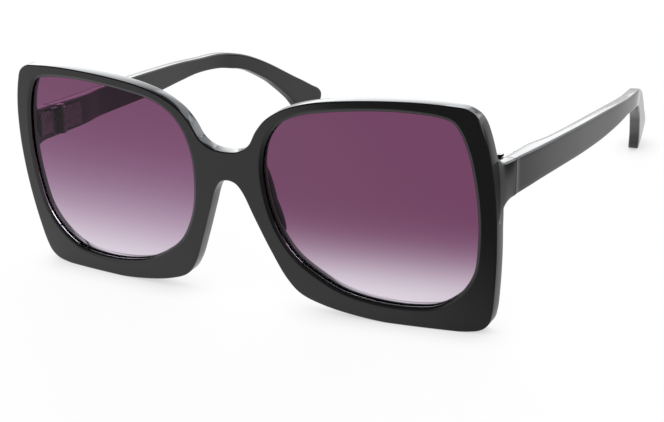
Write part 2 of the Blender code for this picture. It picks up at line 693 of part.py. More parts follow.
def add_flat_outline(name, loop, half_depth, collection):
    """Return an upright prism from a filled flat curve, as a mesh object."""
    curve = bpy.data.curves.new(name, "CURVE")
    curve.dimensions = "2D"
    curve.fill_mode = "BOTH"
    curve.extrude = half_depth
    spline = curve.splines.new("POLY")
    spline.points.add(len(loop) - 1)
    for point, (x, z) in zip(spline.points, loop):
        point.co = (x, z, 0, 1)
    spline.use_cyclic_u = True
    drawn = bpy.data.objects.new(f"{name}_curve", curve)
    collection.objects.link(drawn)
    drawn.rotation_euler = (math.pi / 2, 0, 0)
    graph = bpy.context.evaluated_depsgraph_get()
    mesh = bpy.data.meshes.new_from_object(drawn.evaluated_get(graph))
    mesh_data = bmesh.new()
    mesh_data.from_mesh(mesh)
    bmesh.ops.remove_doubles(mesh_data, verts=mesh_data.verts, dist=MERGE_DISTANCE)
    bmesh.ops.recalc_face_normals(mesh_data, faces=mesh_data.faces)
    mesh_data.to_mesh(mesh)
    mesh_data.free()
    solid = add_object(name, mesh, collection)
    bpy.context.view_layer.update()
    solid.matrix_world = drawn.matrix_world.copy()
    bpy.data.objects.remove(drawn)
    hide_cutter(solid)
    return solid


def nose_pad_mesh():
    """Return a nose pad: a domed strip along the back of the nose side, splayed to the nose."""
    outline = half_front_curve()[0]
    side = outline[int(np.argmax(outline[:, 0])):]
    falling = side[side[:, 0] < HALF_BRIDGE * NOSE_SPLAY_FADE_SHARES[1]]
    heights, across = sort_pairs(falling[:, 1], falling[:, 0])
    levels = FRONT_HEIGHT * np.linspace(PAD_TOP_SHARE, PAD_BOTTOM_SHARE, PAD_STATIONS)
    turn_height = FRONT_HEIGHT * PAD_TURN_SHARE
    climb = np.clip(levels - turn_height, 0.0, None)
    nearest = np.interp(np.minimum(levels, turn_height), heights, across)
    edge = np.stack([nearest - PAD_TURN_SLOPE * climb, levels], axis=1)
    along = np.gradient(edge, axis=0)
    along /= np.linalg.norm(along, axis=1)[:, None]
    away = np.stack([-along[:, 1], along[:, 0]], axis=1)
    away *= np.sign(away[:, :1])
    travel = np.linspace(-1, 1, PAD_STATIONS)
    swell = PAD_END_SHARE + (1 - PAD_END_SHARE) * np.sqrt(np.clip(1 - travel**2, 0, 1))
    rings = []
    for place, step, size in zip(edge, away, swell):
        start = PAD_EDGE_INSET + PAD_WIDTH * (1 - size) / 2 + NOSE_SPLAY * RIM_DEPTH
        width = PAD_WIDTH * size
        turn = np.linspace(0, math.pi, PAD_DOME_STEPS)
        shift = start + width * (1 - np.cos(turn)) / 2
        rise = PAD_DEPTH * size * np.sin(turn)
        spots = place + step * (shift + PAD_SPLAY * rise)[:, None]
        seat = place + step * shift[:, None]
        base = face_back(seat[:, 0], seat[:, 1]) + rim_depth(seat[:, 0], seat[:, 1]) + GAP
        rings.append(np.stack([spots[:, 0], base + rise, spots[:, 1]], axis=1))
    return skin("nose_pad", rings)


def temple_plan(along):
    """Return how far the temple's outer face lies outside its place at the hinge."""
    flare = [(x * TEMPLE_REACH, y * ARM_FLARE) for x, y in FLARE_SHARES]
    toe = [(x * TEMPLE_REACH, -y * TIP_TOE_IN) for x, y in TOE_SHARES]
    plan = catmull_rom(flare + toe, STEPS_PER_POINT, closed=False)
    return float(np.interp(along, plan[:, 0], plan[:, 1]))


def seat_share(along):
    """Return 1 where the inner face stays flat for the hinge leaf, falling to 0 behind it."""
    reach = TEMPLE_REACH
    return 1 - float(smooth_step(along, FLAT_SEAT_SHARE * reach, SEAT_FADE_SHARE * reach))


def temple_ribs():
    """Return the temple's ribs as pairs of top and bottom points, from the butt face back."""
    half = TEMPLE_HEIGHT / 2
    top, low = BUTT_RIB_SHARES
    ribs = [(-BUTT_SETBACK, top * half, -BUTT_SETBACK, low * half)]
    for top_y, top_z, low_y, low_z in ARM_RIB_SHARES:
        ribs.append((top_y * TEMPLE_REACH, top_z * half, low_y * TEMPLE_REACH, low_z * half))
    for top_y, top_z, low_y, low_z in TIP_RIB_SHARES:
        ribs.append((top_y * TEMPLE_REACH, top_z * TIP_DROP, low_y * TEMPLE_REACH,
                     low_z * TIP_DROP))
    return catmull_rom(ribs, STEPS_PER_RIB, closed=False).reshape(-1, 2, 2)


def temple_mesh():
    """Return a temple: a rounded bar that tapers to the bend and drops to a broad tip."""
    slope = math.radians(ARM_DROP_DEG)
    floor = hinge_point()[2]
    ribs = temple_ribs()
    insets = [0.0] * (len(ribs) - 1) + [TIP_END_RADIUS]
    rings = []
    for (top, bottom), end_inset in zip(ribs, insets):
        reach = top - bottom
        height = np.linalg.norm(reach)
        up = reach / height
        radius = min(TEMPLE_EDGE_RADIUS, height / 4)
        middle = (top[0] + bottom[0]) / 2
        flat = seat_share(middle)
        twist = TIP_TWIST_SHARE * smooth_step(middle, TWIST_RISE_SHARES[0] * TEMPLE_REACH,
                                              TWIST_RISE_SHARES[1] * TEMPLE_REACH)
        ring = []
        for inset, z in rounded_section((end_inset, end_inset),
                                        (TEMPLE_THICKNESS - end_inset, height - end_inset), radius):
            y, h = bottom + up * z
            plan = temple_plan(y - h * twist)
            h = max(h, (y * math.sin(slope) - floor) / math.cos(slope))
            share = inset / TEMPLE_THICKNESS
            x = inner_face_x() + inset + plan * (share + (1 - share) * (1 - flat))
            ring.append((x, y, h))
        rings.append(ring)
    return skin("temple", rings)


def add_pair(name, mesh, material, frames, parts, in_hinge_frame):
    """Add a left-hand piece and its mirror image, and return them by side."""
    pieces = {}
    for side, frame in frames.items():
        shape = mesh if side == "left" else mirrored_mesh(mesh, f"{side}_{name}")
        piece = add_object(f"{side}_{name}", shape, parts, frame if in_hinge_frame else None)
        shape.materials.clear()
        shape.materials.append(material)
        shade(piece)
        pieces[side] = piece
    return pieces


def stand_on_origin(parts, frames, cutters):
    """Move everything so that the origin is the middle of the footprint."""
    bpy.context.view_layer.update()
    graph = bpy.context.evaluated_depsgraph_get()
    spots = []
    for item in parts.objects:
        if item.type == "MESH":
            shown = item.evaluated_get(graph)
            spots += [(item.matrix_world @ vertex.co).y for vertex in shown.data.vertices]
    middle = (min(spots) + max(spots)) / 2
    loose = [item for item in [*parts.objects, *cutters.objects] if item.parent is None]
    for item in {*loose, *frames.values()}:
        item.location.y -= middle


def main():
    """Build the sunglasses."""
    clear_scene()
    parts = new_collection("square_sunglasses")
    cutters = new_collection("cutters")
    black = new_material("black_gloss", BLACK_GLOSS, 0.12, 0.0)
    pad_black = new_material("pad_gloss", BLACK_GLOSS, 0.18, 0.0)
    temple_black = new_material("temple_gloss", BLACK_GLOSS, 0.12, 0.0)
    plum = new_material("plum_lens", PLUM_TINT, 0.05, 0.0)
    steel = new_material("hinge_steel", HINGE_STEEL, 0.3, 1.0)
    screw_steel = new_material("screw_steel", HINGE_STEEL, 0.25, 1.0)
    frames = {side: add_hinge_frame(side, parts) for side in ("left", "right")}
    front = add_front(frames, parts, cutters)
    front.data.materials.append(black)
    shade(front)
    add_pair("lens", lens_mesh(cutters), plum, frames, parts, False)
    add_pair("nose_pad", nose_pad_mesh(), pad_black, frames, parts, False)
    add_pair("front_hinge", hinge_leaf_mesh("front", cutters), steel, frames, parts, True)
    add_pair("temple_hinge", hinge_leaf_mesh("temple", cutters), steel, frames, parts, True)
    add_pair("hinge_screw", hinge_screw_mesh(cutters), screw_steel, frames, parts, True)
    temples = add_pair("temple", temple_mesh(), temple_black, frames, parts, True)
    for side, temple in temples.items():
        add_stud_holes(temple, "temple", frames[side], side, cutters)
    stand_on_origin(parts, frames, cutters)


main()
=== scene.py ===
"""Oversized square sunglasses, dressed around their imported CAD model.

Units are metres, +Z is up. The front faces -Y, the temples reach back along +Y, and +X is the
wearer's left. Left-hand pieces are worked out, and right-hand pieces are their mirror images.
"""
from __future__ import annotations

import json
import logging
import math
from collections.abc import Sequence
from dataclasses import dataclass, field
from enum import Enum
from typing import ClassVar, Union

import bmesh
import bpy
import numpy as np
from mathutils import Matrix, Vector


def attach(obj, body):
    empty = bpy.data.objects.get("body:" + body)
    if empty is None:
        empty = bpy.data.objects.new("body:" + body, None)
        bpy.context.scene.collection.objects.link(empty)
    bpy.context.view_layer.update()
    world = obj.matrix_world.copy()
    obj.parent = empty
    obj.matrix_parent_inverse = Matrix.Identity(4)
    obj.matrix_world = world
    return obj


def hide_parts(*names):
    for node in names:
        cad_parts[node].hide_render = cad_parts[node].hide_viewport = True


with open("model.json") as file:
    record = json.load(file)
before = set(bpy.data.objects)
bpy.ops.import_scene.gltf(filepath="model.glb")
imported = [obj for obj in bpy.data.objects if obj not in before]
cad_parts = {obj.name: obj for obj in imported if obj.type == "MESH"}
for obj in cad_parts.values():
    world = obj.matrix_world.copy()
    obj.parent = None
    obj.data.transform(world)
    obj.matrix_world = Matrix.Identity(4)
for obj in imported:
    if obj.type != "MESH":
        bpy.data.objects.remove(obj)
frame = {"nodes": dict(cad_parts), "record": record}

LOG = logging.getLogger("sunglasses")
MERGE_DISTANCE = 0.000004
QUARTER = math.pi / 2
WHITE = (1.0, 1.0, 1.0)

Pair = tuple[float, float]
Triple = tuple[float, float, float]
Quad = tuple[float, float, float, float]
Socket = bpy.types.NodeSocket
Feed = Union[Socket, float, Sequence[float]]


class Side(Enum):
    """The wearer's side, valued as the sign of X there."""

    LEFT = 1.0
    RIGHT = -1.0

    @property
    def label(self) -> str:
        """Return the side's name as node names begin with it."""
        return self.name.lower()


# Curves and meshes


def smooth_curve(points: np.ndarray, steps: int, closed: bool) -> np.ndarray:
    """Return a centripetal Catmull-Rom curve, blended from straight lines in three rounds.

    Args:
        points: The points that the curve passes through, one per row, in any dimension.
        steps: Samples to each span between two points.
        closed: Whether the curve returns to its first point.

    Returns:
        The samples, one per row. An open curve ends on its last point.
    """
    points = np.asarray(points, float)
    if closed:
        padded = np.vstack([points[-1:], points, points[:2]])
    else:
        padded = np.vstack([2 * points[:1] - points[1:2], points, 2 * points[-1:] - points[-2:-1]])
    corner = [padded[i:len(padded) - 3 + i, None, :] for i in range(4)]
    gaps = [np.sqrt(np.linalg.norm(b - a, axis=2)) for a, b in zip(corner, corner[1:])]
    knot = np.cumsum([np.zeros_like(gaps[0]), *gaps], axis=0)
    t = knot[1] + (knot[2] - knot[1]) * np.arange(steps) / steps

    def mix(start: np.ndarray, end: np.ndarray, low: int, high: int) -> np.ndarray:
        """Return the point between start and end at t, over a range of knots."""
        share = ((t - knot[low]) / (knot[high] - knot[low]))[..., None]
        return start * (1 - share) + end * share

    first = [mix(corner[i], corner[i + 1], i, i + 1) for i in range(3)]
    second = [mix(first[i], first[i + 1], i, i + 2) for i in range(2)]
    samples = mix(second[0], second[1], 1, 2).reshape(-1, points.shape[1])
    return samples if closed else np.vstack([samples, points[-1:]])


def smooth_step(value: np.ndarray | float, low: float, high: float) -> np.ndarray:
    """Return 0 below low, 1 above high, and the cubic 3t^2 - 2t^3 between them."""
    t = np.clip((np.asarray(value, float) - low) / (high - low), 0.0, 1.0)
    return t * t * (3 - 2 * t)


def edge_normals(loop: np.ndarray) -> np.ndarray:
    """Return the unit normals of a closed loop, pointing away from the area inside it.

    Args:
        loop: Points of a closed loop, as (points, 2).

    Returns:
        One unit normal to each point.
    """
    along = np.roll(loop, -1, axis=0) - np.roll(loop, 1, axis=0)
    normals = np.stack([along[:, 1], -along[:, 0]], axis=1)
    normals /= np.linalg.norm(normals, axis=1)[:, None]
    ahead = np.roll(loop, -1, axis=0)
    area = np.sum(loop[:, 0] * ahead[:, 1] - ahead[:, 0] * loop[:, 1])
    return normals if area > 0 else -normals


def close_up(mesh: bpy.types.Mesh) -> bpy.types.Mesh:
    """Merge doubles and turn every face outwards, in place.

    Args:
        mesh: The mesh to mend.

    Returns:
        The same mesh.
    """
    shell = bmesh.new()
    shell.from_mesh(mesh)
    bmesh.ops.remove_doubles(shell, verts=shell.verts, dist=MERGE_DISTANCE)
    bmesh.ops.recalc_face_normals(shell, faces=shell.faces)
    shell.to_mesh(mesh)
    shell.free()
    return mesh


def tube_mesh(name: str, rings: np.ndarray, closed: bool) -> bpy.types.Mesh:
    """Return a mesh over a grid of rings, each of which closes on itself.

    Args:
        name: The mesh's name.
        rings: Points as an array of (rings, points to a ring, 3).
        closed: Whether the last ring joins the first; if not, both ends get a cap.

    Returns:
        The mesh, closed and facing outwards.
    """
    count, across = rings.shape[:2]
    index = np.arange(count * across).reshape(count, across)
    near = index if closed else index[:-1]
    far = np.roll(index, -1, axis=0) if closed else index[1:]
    quads = np.stack([near, np.roll(near, -1, axis=1), np.roll(far, -1, axis=1), far], axis=-1)
    faces = quads.reshape(-1, 4).tolist()
    if not closed:
        faces += [index[0].tolist(), index[-1].tolist()]
    mesh = bpy.data.meshes.new(name)
    mesh.from_pydata(rings.reshape(-1, 3).tolist(), [], faces)
    return close_up(mesh)


def arc(steps: int) -> np.ndarray:
    """Return the angles of a quarter turn, both ends in."""
    return np.linspace(0.0, QUARTER, steps + 1)


def finished_mesh(item: bpy.types.Object, name: str) -> bpy.types.Mesh:
    """Return the item's mesh with its modifiers applied, and remove the item.

    Args:
        item: The object, with live modifiers.
        name: The new mesh's name.

    Returns:
        A mesh of its own, with no modifiers left.
    """
    graph = bpy.context.evaluated_depsgraph_get()
    mesh = bpy.data.meshes.new_from_object(item.evaluated_get(graph))
    mesh.name = name
    bpy.data.objects.remove(item)
    return mesh


def add_object(name: str, mesh: bpy.types.Mesh) -> bpy.types.Object:
    """Return a new object at the origin that holds the mesh.

    Args:
        name: The object's name.
        mesh: Its mesh, in place.

    Returns:
        The object, unturned and unscaled.
    """
    item = bpy.data.objects.new(name, mesh)
    bpy.context.scene.collection.objects.link(item)
    return item


def mirrored(mesh: bpy.types.Mesh, side: Side, name: str) -> bpy.types.Mesh:
    """Return a copy of a left-hand mesh for a side, mirrored in X for the right.

    Args:
        mesh: The left-hand mesh, which stays as it is.
        side: The side that the copy is for.
        name: The copy's name.

    Returns:
        The copy, facing outwards.
    """
    copy = mesh.copy()
    copy.name = name
    if side is Side.RIGHT:
        copy.transform(Matrix.Scale(-1, 4, (1, 0, 0)))
        copy.flip_normals()
    return copy


def add_piece(name: str, mesh: bpy.types.Mesh, material: bpy.types.Material, body: str,
              node: str, sharp_deg: float = 38.0) -> None:
    """Add a finished piece that stands for a CAD node.

    Args:
        name: The piece's name.
        mesh: Its mesh, in place.
        material: Its finish.
        body: The CAD body that it moves with.
        node: The CAD node that it replaces.
        sharp_deg: Edges where faces meet at more than this stay sharp.
    """
    mesh.materials.clear()
    mesh.materials.append(material)
    mesh.shade_smooth()
    mesh.set_sharp_from_angle(angle=math.radians(sharp_deg))
    piece = add_object(name, mesh)
    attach(piece, body)
    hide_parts(node)
    LOG.info("%s: %d faces on %s", name, len(mesh.polygons), body)


# Finishes


class Nodes:
    """A node tree under construction, with short calls that add and wire its nodes."""

    def __init__(self, tree: bpy.types.NodeTree) -> None:
        """Take the tree to build in."""
        self.tree = tree

    def add(self, kind: str, **values: object) -> bpy.types.Node:
        """Add a node and set its plain properties.

        Args:
            kind: The node's type, as Blender names it.
            **values: Its properties, by name.

        Returns:
            The node.
        """
        node = self.tree.nodes.new(kind)
        for key, value in values.items():
            setattr(node, key, value)
        return node

    def wire(self, source: Socket, target: Socket) -> None:
        """Join an output to an input."""
        self.tree.links.new(source, target)

    def feed(self, target: Socket, value: Feed) -> None:
        """Join a socket to an input, or set the input to a plain value.

        Args:
            target: The input.
            value: The socket to join to it, or its value.
        """
        if isinstance(value, Socket):
            self.wire(value, target)
        else:
            target.default_value = value

    def feed_all(self, node: bpy.types.Node, values: dict[str, Feed]) -> None:
        """Feed a node's inputs by name."""
        for label, value in values.items():
            self.feed(node.inputs[label], value)

    def place(self) -> Socket:
        """Add a Texture Coordinate node and return the object coordinates."""
        return self.add("ShaderNodeTexCoord").outputs["Object"]

    def maths(self, operation: str, first: Feed, second: Feed = 0.0, third: Feed = 0.0) -> Socket:
        """Add a Math node over sockets or numbers and return its result.

        Args:
            operation: The node's operation.
            first: Its first input.
            second: Its second input.
            third: Its third input, which few operations read.

        Returns:
            The result.
        """
        node = self.add("ShaderNodeMath", operation=operation)
        for socket, value in zip(node.inputs, (first, second, third)):
            self.feed(socket, value)
        return node.outputs[0]

    def split(self, vector: Socket) -> bpy.types.NodeOutputs:
        """Add a Separate XYZ node and return its outputs.

        Args:
            vector: The vector to take apart.

        Returns:
            The outputs X, Y and Z.
        """
        node = self.add("ShaderNodeSeparateXYZ")
        self.wire(vector, node.inputs["Vector"])
        return node.outputs

    def noise(self, vector: Socket, scale: Feed, detail: float) -> Socket:
        """Add a Noise Texture and return its factor.

        Args:
            vector: The place in the noise.
            scale: Its scale: more is finer.
            detail: How many finer octaves it has.

        Returns:
            The factor, from 0 to 1.
        """
        node = self.add("ShaderNodeTexNoise")
        self.feed_all(node, {"Vector": vector, "Scale": scale, "Detail": detail})
        return node.outputs["Fac"]

    def span(self, value: Feed, source: Pair, target: tuple[Feed, Feed],
             smooth: bool = True) -> Socket:
        """Add a Map Range node from one span to another and return its result.

        Args:
            value: The value to map.
            source: The span that it comes from, and is held to.
            target: The span that it goes to.
            smooth: Whether it eases in and out, or runs straight.

        Returns:
            The mapped value.
        """
        node = self.add("ShaderNodeMapRange",
                        interpolation_type="SMOOTHSTEP" if smooth else "LINEAR")
        for socket, number in zip(node.inputs, (value, *source, *target)):
            self.feed(socket, number)
        return node.outputs["Result"]

    def mix(self, factor: Feed, first: Triple, second: Triple) -> Socket:
        """Add a Mix node between two colours and return its result.

        Args:
            factor: The second colour's share.
            first: The colour at 0.
            second: The colour at 1.

        Returns:
            The mixed colour.
        """
        node = self.add("ShaderNodeMix", data_type="RGBA")
        self.feed(node.inputs["Factor"], factor)
        colours = [socket for socket in node.inputs if socket.type == "RGBA"]
        self.feed(colours[0], opaque(first))
        self.feed(colours[1], opaque(second))
        return next(socket for socket in node.outputs if socket.type == "RGBA")

    def bump(self, height: Socket, distance: float, strength: float) -> Socket:
        """Add a Bump node over a height and return its normal.

        Args:
            height: The height, from 0 to 1.
            distance: The real height that 1 stands for.
            strength: How much of it shows.

        Returns:
            The normal.
        """
        node = self.add("ShaderNodeBump")
        self.feed_all(node, {"Strength": strength, "Distance": distance, "Height": height})
        return node.outputs["Normal"]


def opaque(colour: Triple) -> Quad:
    """Return a colour with a full alpha."""
    return (*colour, 1.0)


def start_material(name: str) -> tuple[bpy.types.Material, Nodes, bpy.types.Node]:
    """Return a new material, its builder and its Principled BSDF.

    Args:
        name: The material's name.

    Returns:
        The material, a builder over its tree, and the shader.
    """
    material = bpy.data.materials.new(name)
    material.use_nodes = True
    nodes = Nodes(material.node_tree)
    return material, nodes, material.node_tree.nodes["Principled BSDF"]


@dataclass(frozen=True)
class HandlingMarks:
    """Marks of handling in a shared node group: soft smears, fine dust and a moulded ripple.

    Smears are broad noise, dust is the peaks of a fine noise, and the ripple is a height for Bump.
    A bigger size number gives a finer pattern.
    """

    smear_size: float
    dust_size: float
    ripple_size: float
    group_name: ClassVar[str] = "handling_marks"
    smear_range: ClassVar[Pair] = (0.42, 0.72)
    dust_range: ClassVar[Pair] = (0.70, 0.80)
    smear_detail: ClassVar[float] = 3.0
    dust_detail: ClassVar[float] = 1.0
    ripple_detail: ClassVar[float] = 2.0

    def group(self) -> bpy.types.NodeTree:
        """Return the node group, which is built once.

        Returns:
            The group, with its inputs and outputs named.
        """
        if self.group_name in bpy.data.node_groups:
            return bpy.data.node_groups[self.group_name]
        tree = bpy.data.node_groups.new(self.group_name, "ShaderNodeTree")
        labels = {"INPUT": ("Vector", "Smear Size", "Dust Size", "Ripple Size"),
                  "OUTPUT": ("Smear", "Dust", "Ripple")}
        for way, names in labels.items():
            for label in names:
                kind = "NodeSocketVector" if label == "Vector" else "NodeSocketFloat"
                tree.interface.new_socket(name=label, in_out=way, socket_type=kind)
        nodes = Nodes(tree)
        source = nodes.add("NodeGroupInput").outputs
        smear = nodes.noise(source["Vector"], source["Smear Size"], self.smear_detail)
        dust = nodes.noise(source["Vector"], source["Dust Size"], self.dust_detail)
        ripple = nodes.noise(source["Vector"], source["Ripple Size"], self.ripple_detail)
        nodes.feed_all(nodes.add("NodeGroupOutput"), {
            "Smear": nodes.span(smear, self.smear_range, (0.0, 1.0)),
            "Dust": nodes.span(dust, self.dust_range, (0.0, 1.0)), "Ripple": ripple})
        return tree

    def place(self, nodes: Nodes) -> bpy.types.NodeOutputs:
        """Place the group on object coordinates, with these sizes, and return its outputs.

        Args:
            nodes: The builder to add to.

        Returns:
            The outputs Smear, Dust and Ripple.
        """
        marks = nodes.add("ShaderNodeGroup", node_tree=self.group())
        nodes.feed_all(marks, {"Vector": nodes.place(), "Smear Size": self.smear_size,
                               "Dust Size": self.dust_size, "Ripple Size": self.ripple_size})
        return marks.outputs


@dataclass(frozen=True)
class GlossPlastic:
    """Polished moulded plastic: near black, with smears, dust and a faint ripple."""

    name: str
    base: Triple = (0.0045, 0.0045, 0.0045)
    dusted: Triple = (0.016, 0.016, 0.017)
    roughness: float = 0.10
    smeared_roughness: float = 0.17
    ior: float = 1.5
    ripple_height: float = 0.00003
    ripple_strength: float = 0.05
    marks: HandlingMarks = HandlingMarks(55.0, 2400.0, 260.0)

    def build(self) -> bpy.types.Material:
        """Return the material.

        Returns:
            The material: dust lightens it, and smears make it less glossy.
        """
        material, nodes, shader = start_material(self.name)
        marks = self.marks.place(nodes)
        nodes.feed_all(shader, {
            "Base Color": nodes.mix(marks["Dust"], self.base, self.dusted),
            "Roughness": nodes.span(marks["Smear"], (0.0, 1.0),
                                    (self.roughness, self.smeared_roughness)),
            "IOR": self.ior,
            "Normal": nodes.bump(marks["Ripple"], self.ripple_height, self.ripple_strength)})
        return material


@dataclass(frozen=True)
class TintedLens:
    """Transparent plastic, dipped so that its plum tint fades downwards to almost clear.

    In each channel the colour goes from clear to deep with the height h above the foot: the share
    that stays clear is exp(-(h / fade)^power), with the channel's own fade height.
    """

    name: str
    foot: float
    fades: Triple
    power: float
    clear: Triple = (0.88, 0.80, 0.90)
    deep: Triple = (0.196, 0.07, 0.147)
    ior: float = 1.24
    roughness: float = 0.004
    waver_size: float = 24.0
    waver_range: Pair = (0.3, 0.7)
    waver_height: float = 0.0004

    def height(self, nodes: Nodes) -> Socket:
        """Add the height above the foot, which wavers a little.

        Args:
            nodes: The builder to add to.

        Returns:
            The height in metres, never below 0.
        """
        place = nodes.place()
        waver = nodes.span(nodes.noise(place, self.waver_size, 1.0), self.waver_range,
                           (-self.waver_height, self.waver_height))
        rise = nodes.maths("ADD", nodes.split(place)["Z"], waver)
        return nodes.maths("MAXIMUM", nodes.maths("SUBTRACT", rise, self.foot), 0.0)

    def tint(self, nodes: Nodes) -> Socket:
        """Add the tint, channel by channel.

        Args:
            nodes: The builder to add to.

        Returns:
            The colour.
        """
        height = self.height(nodes)
        tint = nodes.add("ShaderNodeCombineColor")
        for channel, fade, clear, deep in zip(tint.inputs, self.fades, self.clear, self.deep):
            drop = nodes.maths("POWER", nodes.maths("DIVIDE", height, fade), self.power)
            share = nodes.maths("EXPONENT", nodes.maths("MULTIPLY", drop, -1.0))
            nodes.wire(nodes.maths("MULTIPLY_ADD", share, clear - deep, deep), channel)
        return tint.outputs["Color"]

    def build(self) -> bpy.types.Material:
        """Return the material, whose transmitted colour is the tint.

        Returns:
            The material.
        """
        material, nodes, shader = start_material(self.name)
        nodes.feed_all(shader, {"Base Color": self.tint(nodes), "Transmission Weight": 1.0,
                                "Roughness": self.roughness, "IOR": self.ior})
        return material


@dataclass(frozen=True)
class HingeMetal:
    """Plain stamped or turned metal with fine tool lines and dulled patches."""

    name: str
    base: Triple = (0.20, 0.195, 0.19)
    dulled: Triple = (0.13, 0.125, 0.12)
    roughness: float = 0.24
    dulled_roughness: float = 0.42
    line_scale: float = 1800.0
    line_stretch: Triple = (1.0, 1.0, 0.06)
    line_detail: float = 2.0
    line_height: float = 0.00002
    line_strength: float = 0.25
    marks: HandlingMarks = HandlingMarks(700.0, 5200.0, 900.0)

    def build(self) -> bpy.types.Material:
        """Return the material: tool lines are a noise drawn out along one axis.

        Returns:
            The material.
        """
        material, nodes, shader = start_material(self.name)
        marks = self.marks.place(nodes)
        mapping = nodes.add("ShaderNodeMapping")
        nodes.feed_all(mapping, {"Scale": self.line_stretch, "Vector": nodes.place()})
        lines = nodes.noise(mapping.outputs["Vector"], self.line_scale, self.line_detail)
        nodes.feed_all(shader, {
            "Base Color": nodes.mix(marks["Smear"], self.base, self.dulled),
            "Roughness": nodes.span(marks["Smear"], (0.0, 1.0),
                                    (self.roughness, self.dulled_roughness)),
            "Metallic": 1.0,
            "Normal": nodes.bump(lines, self.line_height, self.line_strength)})
        return material


# Pieces


